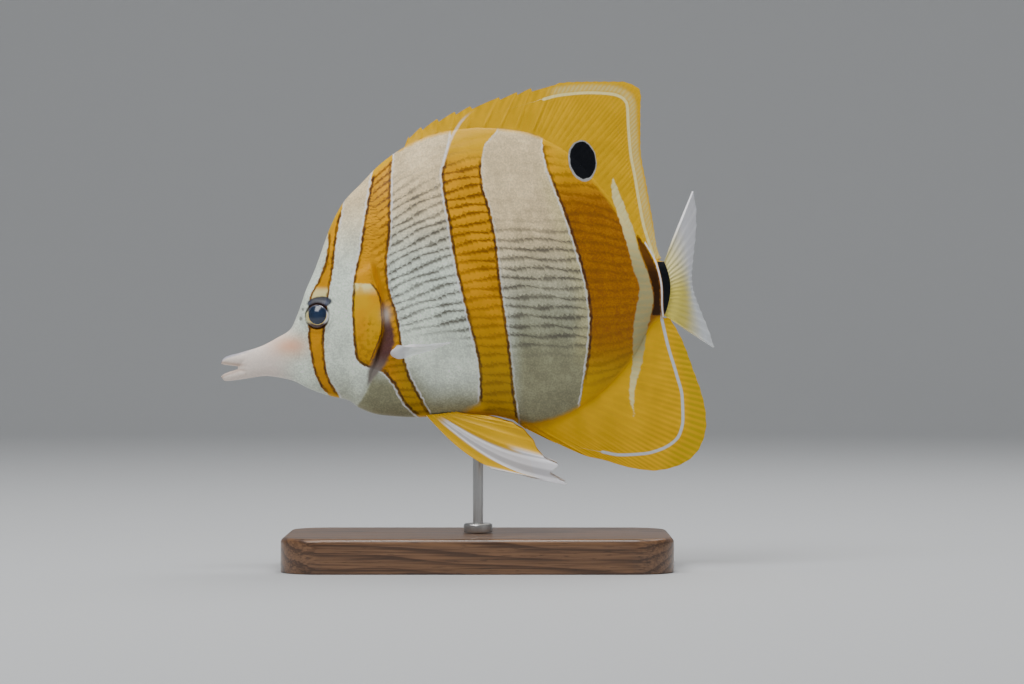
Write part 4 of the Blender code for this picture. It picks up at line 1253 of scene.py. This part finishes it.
def make_pectoral_fins():
    length = smooth(PECTORAL_LENGTH)
    along = np.linspace(0, 1, 30)
    lines, halves = [], []
    for share in np.linspace(0, 1, (PECTORAL_RAYS - 1) * RAY_PARTS + 1):
        x = PECTORAL_ROOT_X + PECTORAL_ROOT_BOW * (2 * share - 1) ** 2
        z = mix(*PECTORAL_ROOT_Z, share)
        root_y = float(flesh_half(PECTORAL_ROOT_X, share_at(PECTORAL_ROOT_X, z))) + 0.4
        spread, rise = mix(*PECTORAL_SPREAD, share), mix(*PECTORAL_RISE, share)
        off = from_ray(share, PECTORAL_RAYS)
        line = swept_line(
            (x, -root_y, z),
            lambda at: -mix(math.radians(80), spread, np.minimum(1, 5 * at)),
            lambda at: np.full_like(at, rise),
            ray_length(length(share), off),
            along,
        )
        line[:, 2] = mix(sum(PECTORAL_ROOT_Z) / 2, line[:, 2], mix(0.45, 1, step(along, 0, 0.22)))
        lines.append(line)
        ridge = 0.16 * split_ridge(off, along, *SPLIT_SHARES) * (1 - 0.55 * along)
        half = mix(0.5, 0.11, along ** 0.6) + ridge * step(along, 0.0, 0.25)
        halves.append(half + 0.14 * (1 - along) if share == 0 else half)

    material = clear_fin_material("pectoral")
    for word, side in SIDES:
        mirrored = np.array(lines) * (1, -side, 1)
        name = "pectoral_fin_clear_" + word
        data = fan(name, mirrored, halves, (0, -1.6 * side, 0), along, PECTORAL_RAYS)
        place_object(data, material, ["pectoral_fin_" + word])


def make_pelvic_fins():
    roots = np.concatenate([[PELVIC_SPINE_ROOT_X], np.linspace(*PELVIC_ROOTS_X, len(PELVIC_TIPS))])
    tips = np.array([PELVIC_SPINE_TIP] + PELVIC_TIPS)
    root_x, tip_x, tip_z = (by_number(values) for values in (roots, *tips.T))
    rays = ray_numbers(len(roots), lambda number: PELVIC_PARTS)
    along = np.concatenate([np.linspace(0, 0.85, 26), np.linspace(0.875, 1, 8)])
    ray, reach = np.meshgrid(rays, along, indexing="ij")
    past = ray - np.floor(ray)
    root = np.stack([root_x(ray), belly(root_x(ray)) + 0.6], axis=-1)
    tip = np.stack([tip_x(ray), tip_z(ray)], axis=-1)
    length = np.linalg.norm(tip - root, axis=2)
    notch = np.where(ray < 1, 2.0 * past ** 1.5 * (1 - step(past, 0.8, 1.0)), 0.0)
    notch += smooth(PELVIC_NOTCH)(ray) * np.sin(math.pi * past) ** 2
    reach = reach * (1 - (notch + 0.1) / length)
    x, z = np.moveaxis(mix(root, tip, reach[..., None]), -1, 0)
    ridge = np.where(ray < 0.5, 0.34, 0.2) * bump(np.abs(ray - np.round(ray)), 0.16)
    half = mix(0.5, 0.13, reach ** 0.7) + ridge * (1 - 0.5 * reach)
    wave = 0.35 * np.sin(ray * 1.7 + 5 * reach) * reach
    y = flesh_half(root_x(ray), PELVIC_ROOT_SHARE) - 0.1 + PELVIC_SPLAY * reach * length + wave
    sag = smooth(PELVIC_SAG)(ray) * np.sin(reach * math.pi)

    material = pelvic_material()
    for word, side in SIDES:
        middle = np.stack([x, side * y, z - sag], axis=2)
        data = membrane("pelvic_fin_yellow_" + word, middle, half, ray, reach)
        place_object(data, material, ["pelvic_fin_" + word])


class Shade:
    """A node's output, which is added, subtracted and multiplied like a number."""

    def __init__(self, shades, socket):
        self.shades, self.socket = shades, socket

    def __add__(self, other):
        return self.shades.math("ADD", self, other)

    def __sub__(self, other):
        return self.shades.math("SUBTRACT", self, other)

    def __rsub__(self, other):
        return self.shades.math("SUBTRACT", other, self)

    def __mul__(self, other):
        return self.shades.math("MULTIPLY", self, other)

    __radd__ = __add__
    __rmul__ = __mul__


class Shades:
    """Builds one material's nodes, where an input is a number, a colour or another shade."""

    def __init__(self, name):
        self.material = bpy.data.materials.new(name)
        self.material.use_nodes = True
        self.tree = self.material.node_tree
        self.place = self.node("TexCoord", "Object", {})

    def feed(self, socket, value):
        if isinstance(value, Shade):
            self.tree.links.new(value.socket, socket)
        elif socket.type == "RGBA":
            socket.default_value = (*value, 1)
        else:
            socket.default_value = value

    def node(self, kind, output, inputs, **settings):
        """An output of a new node with the given inputs and settings."""
        node = self.tree.nodes.new("ShaderNode" + kind)
        for name, setting in settings.items():
            setattr(node, name, setting)
        for name, value in inputs.items():
            self.feed(node.inputs[name], value)
        return Shade(self, node.outputs[output])

    def surface(self, **inputs):
        shader = self.tree.nodes["Principled BSDF"]
        for name, value in inputs.items():
            self.feed(shader.inputs[name.replace("_", " ")], value)
        return self.material

    def value(self, name):
        return self.node("Attribute", "Fac", {}, attribute_name=name)

    def math(self, operation, first, second=0.0, clamp=False):
        return self.node("Math", 0, {0: first, 1: second}, operation=operation, use_clamp=clamp)

    def most(self, first, second):
        return self.math("MAXIMUM", first, second)

    def step(self, value, low, high, start=0.0, end=1.0):
        inputs = dict(enumerate((value, low, high, start, end)))
        return self.node("MapRange", 0, inputs, interpolation_type="SMOOTHSTEP")

    def within(self, value, low, high, soft):
        """1 where a number lies between two others, with soft ends."""
        rising = self.step(value, low - soft, low + soft)
        return rising * self.step(value, high - soft, high + soft, 1.0, 0.0)

    def blend(self, share, low, high):
        return self.node("Mix", 2, {0: share, 6: low, 7: high}, data_type="RGBA")

    def over(self, colour, *layers):
        """A colour under layers, each given as its share and its colour."""
        for share, layer in layers:
            colour = self.blend(share, colour, layer)
        return colour

    def tint(self, colour, value):
        """A colour made brighter or darker by a number."""
        grey = self.node("CombineColor", 0, {0: value, 1: value, 2: value})
        inputs = {0: 1.0, 6: colour, 7: grey}
        return self.node("Mix", 2, inputs, data_type="RGBA", blend_type="MULTIPLY")

    def noise(self, size, detail=2.0, stretch=(1, 1, 1)):
        """Noise whose lumps are about the given size in millimetres, stretched along the axes."""
        scale = [1 / (size * MM * share) for share in stretch]
        place = self.node("Mapping", 0, {"Vector": self.place, "Scale": scale})
        return self.node("TexNoise", "Fac", {"Vector": place, "Scale": 1.0, "Detail": detail})

    def from_heart(self, y, z):
        """Distance from a line along X, the heart of the trunk that a board was cut from."""
        inputs = {"Vector": self.place, "Scale": (0, 1, 1), "Location": (0, -y, -z)}
        place = self.node("Mapping", 0, inputs)
        return self.node("VectorMath", "Value", {0: place}, operation="LENGTH")

    def bump(self, height, depth):
        return self.node("Bump", 0, {"Distance": depth * MM, "Height": height})


class SkinShades(Shades):
    """The skin's shades, with the noises and values that several of its colours share."""

    def __init__(self, name):
        super().__init__(name)
        self.grain, self.cloud = self.noise(0.55, 3), self.noise(7.0, 3)
        self.drift = (self.noise(1.3, 1.5) - 0.5) * 0.9
        # Random flecks of tone, the lighter ones partly painted glints on the scales
        self.speck = self.value("scale_shade") * 0.12 + self.noise(0.5, 2) * 0.88
        self.worn = self.step(self.noise(2.2, 3), 0.32, 0.6)
        self.ray_wave = self.math("SINE", self.value("ray") * (math.tau * 2))
        self.bar, self.reach = self.field("bar"), self.value("reach")
        self.line = self.scale_lines()

    def field(self, name, share=None):
        """A marking's distance from its edge, which wanders a little."""
        return self.value(name) + (self.drift if share is None else self.drift * share)

    def scale_lines(self):
        """The dark edges of the scales, strongest between the rows, with a little painted shade at
        each scale's root where the scale ahead covers it.
        """
        along, across = self.value("along_scale"), self.value("across_scale")
        slant = (along - 0.7) * 0.4
        wander = (self.noise(3.0, 0) - 0.5) * 0.45
        rows = self.step(across + (slant + wander), 0.1, 0.8)
        rows = self.most(rows, self.step(across, -1.0, -0.8, 0.45, 0.0))
        # A little painted shade at each scale's root, where the scale ahead overlaps it
        lines = self.most(rows, self.step(along, 0.1, 0.45, 1.0, 0.0) * 0.12)
        return self.math("MULTIPLY", lines, self.value("rows") - self.value("snout"), clamp=True)


def pearl_colour(s, colours):
    """The pale panels with their rows of scales, random flecks whose lighter ones are partly painted
    glints, and the bare snout.
    """
    pearl = s.blend(s.value("warm"), colours.pearl, colours.pearl_warm)
    # Duller tint at the rear, and painted shade on the underside and under the chin
    pearl = s.blend(s.value("olive"), pearl, colours.olive)
    pearl = s.blend(s.step(s.cloud, 0.35, 0.65), pearl, s.tint(pearl, 0.84))
    pearl = s.blend(s.value("glow") * 0.45, pearl, s.tint(colours.cream, 0.75))
    # Random flecks, the lighter ones partly painted glints on the scales
    pearl = s.blend(s.step(s.speck, 0.35, 0.7), s.tint(pearl, 0.9), s.tint(pearl, 1.25))
    dark_line = s.line * s.step(s.value("row_dark"), 0.0, 1.0, 0.05, 0.95)
    bare = s.blend(s.step(s.grain, 0.3, 0.7), colours.pink, s.tint(colours.pink, 0.9))
    beside = s.within(s.bar, -0.6, -0.15, 0.14) * s.value("front_edge") * (0.5 + s.worn * 0.5)
    return s.over(
        pearl,
        (dark_line * s.step(s.cloud, 0.3, 0.6, 0.75, 1.0), colours.pearl_shade),
        (s.value("snout"), bare),
        (s.value("flush") * 0.9, colours.flush),
        (s.value("tip_blue") * 0.7, colours.halo),
        (s.value("lips") * 0.5, s.tint(colours.flush, 0.45)),
        # Painted shade in the nostrils
        (s.step(s.value("pit"), 0.3, 0.85, 0.0, 0.65), s.tint(colours.mauve, 0.3)),
        (beside * 0.75, colours.edge_white),
    )


def bar_colour(s, colours):
    """The copper of the bars, browner at the rear and lower down, with painted shade dulling the lower
    part of the gill bar.
    """
    tone = s.value("tone")
    row_line = s.line * s.step(s.value("warm"), 0.0, 1.0, 0.5, 0.85)
    return s.over(
        s.blend(s.step(s.cloud, 0.3, 0.7), colours.gold, s.tint(colours.gold, 0.78)),
        # Painted shade low on the gill bar
        (s.value("low") * 0.75, colours.old_gold),
        (tone * s.step(s.speck, 0.3, 0.65, 1.0, 0.75), colours.brown),
        (row_line * s.step(tone, 0.0, 1.0, 1.0, 0.55), s.tint(colours.brown, 0.4)),
    )


def fin_colour(s, colours):
    """The yellow of the fins with their rays, fringe and rim."""
    yellow = s.blend(s.step(s.cloud, 0.3, 0.7), colours.yellow, s.tint(colours.yellow, 0.85))
    ray_share = s.step(s.reach, 0.25, 0.7) * 0.1
    rim = s.value("anal_rim") * s.step(s.ray_wave, -0.8, 0.8, 0.75, 0.4)
    margin = s.step(s.reach, 0.93, 0.99, 0.0, 0.6) * s.step(rim, 0.0, 0.3, 1.0, 0.0)
    return s.over(
        s.tint(yellow, 0.96 + s.ray_wave * ray_share),
        (s.line * 0.14, colours.gold),
        (rim, colours.old_gold),
        (s.value("fringe") * s.step(s.ray_wave, -0.6, 0.6, 0.6, 0.35), colours.cream),
        (margin, colours.yellow),
    )


def gold_colour(s, colours):
    """The bars and fins, with the yellow plate of the gill cover, its painted highlight along the top,
    painted shade low down and a painted shade line along its rear edge.
    """
    low, plate = s.value("plate_low"), s.field("plate")
    mottle = s.most(s.value("plate_spot"), low * 0.8)
    # Lower part of the plate painted darker as shade, with brown mottling that gathers low
    plate_gold = s.over(
        s.blend(s.step(s.cloud, 0.35, 0.65), colours.yellow, colours.gold),
        (low * 0.6, s.tint(colours.gold, 0.5)),
        (mottle * s.step(s.noise(1.3, 3), 0.42, 0.62, 0.0, 0.7), s.tint(colours.brown, 0.6)),
    )
    # Painted highlight along the top of the plate
    shine = s.value("shine") * s.step(plate, 0.0, 0.5, 0.0, 0.95)
    # Painted shade line along the rear edge of the gill cover, where it overlaps the body
    rear_line = s.within(s.field("plate_line"), -0.2, 0.2, 0.12) * s.value("plate_side")
    return s.over(
        bar_colour(s, colours),
        (s.value("bright"), fin_colour(s, colours)),
        (s.step(plate, -0.3, 0.5) * 0.8, plate_gold),
        (shine * s.step(s.noise(1.8, 2), 0.3, 0.55, 0.5, 1.0), s.tint(colours.cream, 1.25)),
        (rear_line * 0.8, s.tint(colours.outline, 1.5)),
    )


def panels_and_bars(s, colours):
    """The gold over the pearl, with the bars' dark edges."""
    soft = 0.1 + s.value("foot") * 1.5
    in_bar, in_fin = s.step(s.bar, soft * -1.0, soft), s.step(s.field("fin"), -0.9, 0.9)
    edged = s.within(s.bar, 0.0, 0.72, 0.28) * s.step(s.value("bright"), 0.05, 0.6, 0.92, 0.0)
    front_line = s.within(s.field("front_line", 0.5), -0.35, 0.35, 0.3)
    return s.over(
        pearl_colour(s, colours),
        (s.most(in_bar, in_fin), gold_colour(s, colours)),
        (edged * (0.6 + s.worn * 0.4), colours.outline),
        (front_line * s.step(s.reach, 0.35, 0.8, 0.5, 0.0), colours.edge_white),
    )


def rear_marks(s, colours, colour):
    """The band, lines, strip and ring before the tail, and the eyespot."""
    cream = s.blend(s.value("band_low"), colours.cream, s.tint(colours.olive, 1.1))
    cream = s.blend(s.line * 0.15, cream, colours.gold)
    on_dorsal, on_anal = (
        s.within(s.value(name), -0.42, 0.42, 0.14) * 0.9 for name in ("dorsal_line", "anal_line")
    )
    strip = s.tint(colours.brown, s.step(s.value("strip_low"), 0.0, 1.0, 0.5, 0.12))
    return s.over(
        colour,
        (s.step(s.field("band"), -0.2, 0.2), cream),
        (on_dorsal, s.tint(colours.cream, 1.15)),
        (on_anal, colours.blue_white),
        (s.step(s.field("strip"), -0.1, 0.5), strip),
        (s.step(s.value("ring"), -0.1, 0.15), colours.black),
        (s.within(s.value("stalk"), 0.05, 0.5, 0.1), colours.edge_white),
        (s.step(s.field("halo", 0.5), -0.1, 0.1), s.blend(0.25, colours.halo, colours.cream)),
        (s.step(s.field("ocellus", 0.5), -0.05, 0.08), colours.black),
    )


def head_marks(s, colours, colour):
    """The skin inside the gill opening, painted darkest next to the cover's edge as shade under it and
    with a painted highlight near its top, and the lid and brow of the eye.
    """
    # Skin in the gill opening: mauve, painted near black next to the cover's edge as shade under it
    inside = s.blend(s.step(s.value("gill_share"), 0.1, 0.6), colours.outline, colours.mauve)
    inside = s.blend(s.step(s.grain, 0.4, 0.7), inside, s.tint(inside, 1.4))
    inside = s.blend(s.value("gill_low") * 0.85, inside, s.tint(colours.pink, 0.24))
    slate = s.blend(s.step(s.cloud, 0.4, 0.6), s.tint(colours.halo, 0.3), s.tint(colours.halo, 0.5))
    slate = s.blend(s.step(s.value("brow"), 0.05, 0.7), s.tint(colours.halo, 0.16), slate)
    return s.over(
        colour,
        (s.step(s.field("gill"), -0.2, 1.1, 0.0, 0.95), inside),
        # Painted highlight near the top of the gill opening
        (s.value("gill_light") * 0.8, s.tint(colours.pink, 0.62)),
        (s.value("lid_cream") * s.step(s.bar, 0.35, 0.9, 0.0, 0.9), s.tint(colours.cream, 1.15)),
        (s.step(s.field("brow", 0.35), -0.1, 0.25, 0.0, 0.95), slate),
        (s.value("eye_ring"), s.tint(colours.brown, 0.22)),
    )


def skin_material():
    """Pearly skin and scales with the bars, bands and eyespot."""
    if "fish_skin" in bpy.data.materials:
        return bpy.data.materials["fish_skin"]
    colours = bpy.context.scene.fish_colours
    s = SkinShades("fish_skin")
    colour = panels_and_bars(s, colours)
    colour = rear_marks(s, colours, colour)
    colour = head_marks(s, colours, colour)
    fine = s.grain * 0.6 + s.noise(0.22, 2) * 0.4
    return s.surface(
        Base_Color=colour, Roughness=s.step(s.grain, 0.2, 0.8, 0.34, 0.5),
        Specular_IOR_Level=0.15, Coat_Weight=0.04, Coat_Roughness=0.2, Normal=s.bump(fine, 0.05),
    )


def clear_fin_material(part):
    """See-through membrane between paler rays, yellow or white at the root."""
    colours = bpy.context.scene.fish_colours
    s = Shades("clear_fin_" + part)
    ray, reach = s.value("ray"), s.value("reach")
    grain = s.noise(0.5, 3)
    whole = s.math("COSINE", ray * math.tau) * 0.3
    split = s.math("COSINE", ray * (math.tau * 2)) * 0.2
    ridge = s.math("ADD", whole + split, 0.5, clamp=True)
    body = s.blend(ridge, s.tint(colours.clear, 0.92), s.tint(colours.clear, 1.05))
    if part == "tail":
        white = s.step(ray, 5.0, 10.0, 1.0, 0.0) * s.step(reach, 0.05, 0.3)
        body = s.blend(white * 0.85, body, s.tint(colours.edge_white, 1.05))
        warm = reach + s.step(ray, 2.0, 14.0) * -0.22
        sunny = s.step(warm, 0.0, 0.3, 0.9, 0.25) * s.step(ray, 4.0, 10.0, 0.3, 1.0)
        pale = s.blend(sunny, colours.cream, colours.lemon)
        body = s.blend(s.step(warm, 0.05, 0.6, 0.95, 0.0), body, pale)
        alpha = 1.0 - s.step(reach, 0.4, 1.0, 0.0, 0.45) * s.step(ray, 3.0, 9.0)
    else:
        white = s.step(ray, 0.4, 3.0, 1.0, 0.0) * s.step(reach, 0.5, 1.0, 1.0, 0.4)
        base = s.step(reach, 0.1, 0.3, 1.0, 0.0)
        body = s.blend(s.most(white, base), body, colours.edge_white)
        alpha = s.step(reach, 0.15, 0.5, 1.0, 0.3)
    return s.surface(
        Base_Color=body, Roughness=s.step(grain, 0.2, 0.8, 0.28, 0.42),
        Alpha=s.most(alpha, white) * (0.9 + ridge * 0.1), Normal=s.bump(grain, 0.03),
    )


def pelvic_material():
    """Yellow rays and webs, with a white streak and white tips."""
    colours = bpy.context.scene.fish_colours
    s = Shades("pelvic_fin")
    ray, reach = s.value("ray"), s.value("reach")
    grain = s.noise(0.5, 3)
    wave = s.math("COSINE", ray * math.tau)
    yellow = s.blend(wave * 0.5 + 0.5, s.tint(colours.yellow, 0.86), colours.yellow)
    streak = s.within(ray, 0.9, 2.45, 0.2) * s.step(reach, 0.02, 0.12)
    pale = s.tint(colours.edge_white, s.step(wave, -0.9, -0.2, 0.62, 1.0))
    tips = s.step(reach - s.step(ray, 0.5, 1.0, 0.84, 0.62), 0.0, 0.16)
    white = s.most(streak * 0.95, tips * s.step(ray, 2.6, 3.3, 1.0, 0.0))
    return s.surface(
        Base_Color=s.blend(white, yellow, pale), Roughness=s.step(grain, 0.2, 0.8, 0.32, 0.45),
        Specular_IOR_Level=0.3, Normal=s.bump(grain, 0.03),
    )


def eye_material():
    """Deep blue pupil, painted lighter in the middle as a reflection, in a thin yellow ring, dark
    above and copper below, under a clear gloss.
    """
    colours = bpy.context.scene.fish_colours
    s = Shades("eye")
    from_pupil, up = s.value("from_pupil"), s.value("up")
    grain = s.noise(0.3, 3)
    rear = s.step(s.value("back"), -1.0, 1.5)
    iris = s.blend(rear, s.tint(colours.cream, 0.85), s.tint(colours.edge_white, 0.85))
    copper = s.blend(s.step(grain, 0.4, 0.7), s.tint(colours.brown, 0.18), colours.mauve)
    iris = s.blend(s.step(up, -2.4, -1.4), copper, iris)
    iris = s.blend(s.step(up, 0.8, 1.9), iris, s.tint(colours.halo, 0.25))
    ring = s.blend(s.step(grain, 0.3, 0.7), colours.yellow, s.tint(colours.cream, 1.1))
    ring = s.blend(s.step(up, -0.2, 1.4), ring, s.tint(colours.halo, 0.3))
    colour = s.blend(s.step(from_pupil, 2.84, 2.94), ring, iris)
    # Pupil painted lighter in the middle, a painted reflection
    pupil = s.blend(s.step(from_pupil, 0.4, 2.4), s.tint(colours.pupil, 1.5), colours.pupil)
    colour = s.blend(s.step(from_pupil, 2.66, 2.76), pupil, colour)
    rim = s.step(s.math("ABSOLUTE", up), 0.6, 2.4, 0.1, 1.0)
    rim = rim * s.step(s.value("from_middle"), 3.2, 3.45)
    colour = s.blend(rim, colour, s.tint(colours.outline, 1.2))
    return s.surface(Base_Color=colour, Roughness=0.2, Coat_Weight=0.6, Coat_Roughness=0.05)


def wood_material():
    """Walnut with year rings cut along the board, fine fibres and dark pores."""
    colours = bpy.context.scene.stand_colours
    s = Shades("walnut")
    warp = s.noise(26.0, 2, (5.0, 1.0, 1.0))
    fibre = s.noise(0.5, 4, (40.0, 1.0, 1.0))
    pores = s.noise(0.3, 2, (16.0, 1.0, 1.0))
    ring = s.math("FRACT", s.from_heart(0.017, -0.05) * 330.0 + warp * 7.0)
    late = s.step(ring, 0.35, 0.9) * s.step(ring, 0.9, 1.0, 1.0, 0.0)
    light = s.step(s.step(fibre, 0.25, 0.75) - late * 0.6, -0.3, 0.95)
    colour = s.blend(light, colours.wood_dark, colours.wood_light)
    colour = s.blend(s.step(pores, 0.62, 0.72, 0.0, 0.7), colour, s.tint(colours.wood_dark, 0.5))
    return s.surface(
        Base_Color=colour, Roughness=s.step(fibre, 0.3, 0.7, 0.3, 0.42), Coat_Weight=0.35,
        Coat_Roughness=0.18, Normal=s.bump(pores, 0.03),
    )


def steel_material(name, stretch):
    """Brushed steel, with the brush marks drawn out along one axis."""
    s = Shades(name)
    brush = s.noise(0.12, 3, stretch)
    steel = s.tint(bpy.context.scene.stand_colours.steel, s.step(brush, 0.2, 0.8, 0.85, 1.1))
    return s.surface(
        Base_Color=steel, Metallic=1.0, Roughness=s.step(brush, 0.2, 0.8, 0.3, 0.42),
        Normal=s.bump(brush, 0.01),
    )


def make_base():
    """A board with round corners, a rounded top edge and a small chamfer underneath."""
    low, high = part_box("stand_base")
    mesh = bmesh.new()
    bmesh.ops.create_cube(mesh, size=1)
    bmesh.ops.scale(mesh, vec=high - low, verts=mesh.verts)
    bmesh.ops.translate(mesh, vec=(low + high) / 2, verts=mesh.verts)

    def rounded(keep, offset, segments):
        edges = [edge for edge in mesh.edges if keep(edge.verts[0].co.z, edge.verts[1].co.z)]
        bmesh.ops.bevel(
            mesh, geom=edges, offset=offset * MM, segments=segments, profile=0.5,
            affect="EDGES", material=-1,
        )

    rounded(lambda first, second: abs(first - second) > MM, BASE_CORNER, 16)
    rounded(lambda first, second: min(first, second) > high.z - 0.01 * MM, BASE_TOP_ROUND, 6)
    rounded(lambda first, second: max(first, second) < low.z + 0.01 * MM, BASE_FOOT_ROUND, 2)
    flat = [face for face in mesh.faces if face.calc_area() > FLAT_FACE]
    bmesh.ops.inset_individual(mesh, faces=flat, thickness=0.3 * MM)
    place_object(closed_data("stand_board", mesh), wood_material(), ["stand_base"])


def arc(middle_x, middle_z, radius, start, end, count=6):
    """Points of a quarter round, from one angle to another in degrees."""
    turns = np.radians(np.linspace(start, end, count))
    return [(middle_x + radius * math.cos(turn), middle_z + radius * math.sin(turn)) for turn in turns]


def spin_round(mesh, steps, merged_within):
    """Turns everything in a mesh about the upright line through its origin."""
    bmesh.ops.spin(
        mesh, geom=mesh.verts[:] + mesh.edges[:], axis=(0, 0, 1), cent=(0, 0, 0),
        angle=math.tau, steps=steps, use_merge=True,
    )
    bmesh.ops.remove_doubles(mesh, verts=mesh.verts, dist=merged_within)


def turned(name, profile, middle, closed):
    """A round piece turned from a profile of radius and height about an upright line."""
    mesh = bmesh.new()
    verts = [mesh.verts.new((radius * MM, 0, z * MM)) for radius, z in profile]
    for pair in zip(verts, verts[1:] + verts[:1] if closed else verts[1:]):
        mesh.edges.new(pair)
    spin_round(mesh, 96, 0.001 * MM)
    bmesh.ops.translate(mesh, verts=mesh.verts, vec=(middle.x, middle.y, 0))
    return closed_data(name, mesh)


def round_sizes(low, high):
    """The radius, foot, top and middle of an upright round piece, from its box."""
    return (high.x - low.x) / 2 / MM, low.z / MM, high.z / MM, (low + high) / 2


def finish_stand():
    make_base()
    rod_radius, _, top, middle = round_sizes(*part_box("stand_rod"))
    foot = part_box("stand_base")[1].z / MM + 0.1
    profile = [(0, foot), (rod_radius, foot)]
    profile += arc(rod_radius - ROD_END_ROUND, top - ROD_END_ROUND, ROD_END_ROUND, 0, 90) + [(0, top)]
    rod = turned("stand_polished_rod", profile, middle, False)
    place_object(rod, steel_material("brushed_rod", (1.0, 1.0, 40.0)), ["stand_rod"])

    bore = rod_radius + COLLAR_PLAY
    radius, foot, top, middle = round_sizes(*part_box("stand_collar"))
    profile = arc(radius - COLLAR_EDGE, foot + COLLAR_EDGE, COLLAR_EDGE, -90, 0, 4)
    profile += arc(radius - COLLAR_ROUND, top - COLLAR_ROUND, COLLAR_ROUND, 0, 90)
    profile += arc(bore + COLLAR_EDGE, top - COLLAR_EDGE, COLLAR_EDGE, 90, 180, 4) + [(bore, foot)]
    collar = turned("stand_turned_collar", profile, middle, True)
    place_object(collar, steel_material("turned_collar", (4.0, 4.0, 0.5)), ["stand_collar"])


def make_backdrop():
    """A pale round floor that sweeps up into a wall on every side."""
    mesh = bmesh.new()
    middle = mesh.verts.new((0, 0, 0))
    rim = mesh.verts.new((FLOOR_RADIUS, 0, 0))
    mesh.edges.new((middle, rim))
    curve = bmesh.ops.spin(
        mesh, geom=[rim], axis=(0, -1, 0), cent=(FLOOR_RADIUS, 0, SWEEP_RADIUS),
        angle=math.pi / 2, steps=16, use_merge=False,
    )
    last = [vert for vert in curve["geom_last"] if isinstance(vert, bmesh.types.BMVert)]
    lifted = bmesh.ops.extrude_vert_indiv(mesh, verts=last)["verts"]
    bmesh.ops.translate(mesh, verts=lifted, vec=(0, 0, WALL_HEIGHT))
    spin_round(mesh, 72, 0.1 * MM)
    bmesh.ops.recalc_face_normals(mesh, faces=mesh.faces)
    data = mesh_data("backdrop", mesh)
    data.shade_smooth()
    floor = tuple(bpy.context.scene.stand_colours.floor)
    data.materials.append(Shades("backdrop").surface(Base_Color=floor, Roughness=0.75))
    sweep = new_object(data)


def add_light(name, place, size, power, aim):
    lamp = bpy.data.lights.new(name, "AREA")
    lamp.shape = "SQUARE"
    lamp.size = size
    lamp.energy = power
    thing = new_object(lamp)
    thing.location = place
    thing.rotation_euler = (Vector(aim) - Vector(place)).to_track_quat("-Z", "Y").to_euler()
    thing.visible_camera = False


def make_stage():
    make_backdrop()
    for light in STUDIO_LIGHTS:
        add_light(*light, STUDIO_AIM)
    for number, power in enumerate(WALL_LIGHT_POWERS):
        turn = number * math.pi / 2
        side, ahead = -math.sin(turn), math.cos(turn)
        aim = (1.8 * side, 1.8 * ahead, 0.2)
        add_light(f"wall_{number}", (0.9 * side, 0.9 * ahead, 1.5), 1.0, power, aim)
    world = bpy.data.worlds.new("studio")
    world.use_nodes = True
    sky = world.node_tree.nodes["Background"].inputs
    sky["Color"].default_value = SKY_COLOUR
    sky["Strength"].default_value = SKY_STRENGTH
    bpy.context.scene.world = world

    camera = bpy.data.cameras.new("camera")
    camera.sensor_width = 36.0
    camera.lens = CAMERA_LENS
    thing = new_object(camera)
    thing.location = CAMERA_PLACE
    thing.rotation_euler = (math.pi / 2, 0, 0)
    bpy.context.scene.camera = thing


class FISH_OT_make_skin(bpy.types.Operator):
    """Make the skin of the body with the fins of its back and belly"""

    bl_idname = "fish.make_skin"
    bl_label = "Skin"

    def execute(self, context):
        make_skin()
        return {"FINISHED"}


class FISH_OT_make_scales(bpy.types.Operator):
    """Lay the scales over the skin"""

    bl_idname = "fish.make_scales"
    bl_label = "Scales"

    def execute(self, context):
        make_scales()
        return {"FINISHED"}


class FISH_OT_make_fins(bpy.types.Operator):
    """Make the tail fin and the paired fins"""

    bl_idname = "fish.make_fins"
    bl_label = "Tail and paired fins"

    def execute(self, context):
        make_tail_fin()
        make_pectoral_fins()
        make_pelvic_fins()
        return {"FINISHED"}


class FISH_OT_make_eyes(bpy.types.Operator):
    """Make the eyes"""

    bl_idname = "fish.make_eyes"
    bl_label = "Eyes"

    def execute(self, context):
        make_eyes()
        return {"FINISHED"}


class FISH_OT_finish_stand(bpy.types.Operator):
    """Give the stand its wood and steel"""

    bl_idname = "fish.finish_stand"
    bl_label = "Stand"

    def execute(self, context):
        finish_stand()
        return {"FINISHED"}


class FISH_OT_make_stage(bpy.types.Operator):
    """Set the floor, the lights and the camera"""

    bl_idname = "fish.make_stage"
    bl_label = "Stage"

    def execute(self, context):
        make_stage()
        return {"FINISHED"}


STEPS = (
    FISH_OT_make_skin, FISH_OT_make_scales, FISH_OT_make_fins, FISH_OT_make_eyes,
    FISH_OT_finish_stand, FISH_OT_make_stage,
)


class FISH_PT_panel(bpy.types.Panel):
    """Steps and settings of the fish"""

    bl_idname = "FISH_PT_panel"
    bl_label = "Butterflyfish"
    bl_space_type = "VIEW_3D"
    bl_region_type = "UI"
    bl_category = "Fish"

    def draw(self, context):
        for step_class in STEPS:
            self.layout.operator(step_class.bl_idname)
        scene = context.scene
        for group in (scene.fish_sizes, scene.fish_colours, scene.stand_colours):
            box = self.layout.box()
            for name in group.__annotations__:
                box.prop(group, name)


CLASSES = (FishSizes, FishColours, StandColours) + STEPS + (FISH_PT_panel,)


def register():
    for item in CLASSES:
        bpy.utils.register_class(item)
    bpy.types.Scene.fish_sizes = PointerProperty(type=FishSizes)
    bpy.types.Scene.fish_colours = PointerProperty(type=FishColours)
    bpy.types.Scene.stand_colours = PointerProperty(type=StandColours)


def unregister():
    del bpy.types.Scene.stand_colours
    del bpy.types.Scene.fish_colours
    del bpy.types.Scene.fish_sizes
    for item in reversed(CLASSES):
        bpy.utils.unregister_class(item)


def main():
    register()
    bpy.ops.fish.make_skin()
    bpy.ops.fish.make_scales()
    bpy.ops.fish.make_fins()
    bpy.ops.fish.make_eyes()
    bpy.ops.fish.finish_stand()
    bpy.ops.fish.make_stage()


if __name__ == "__main__":
    main()
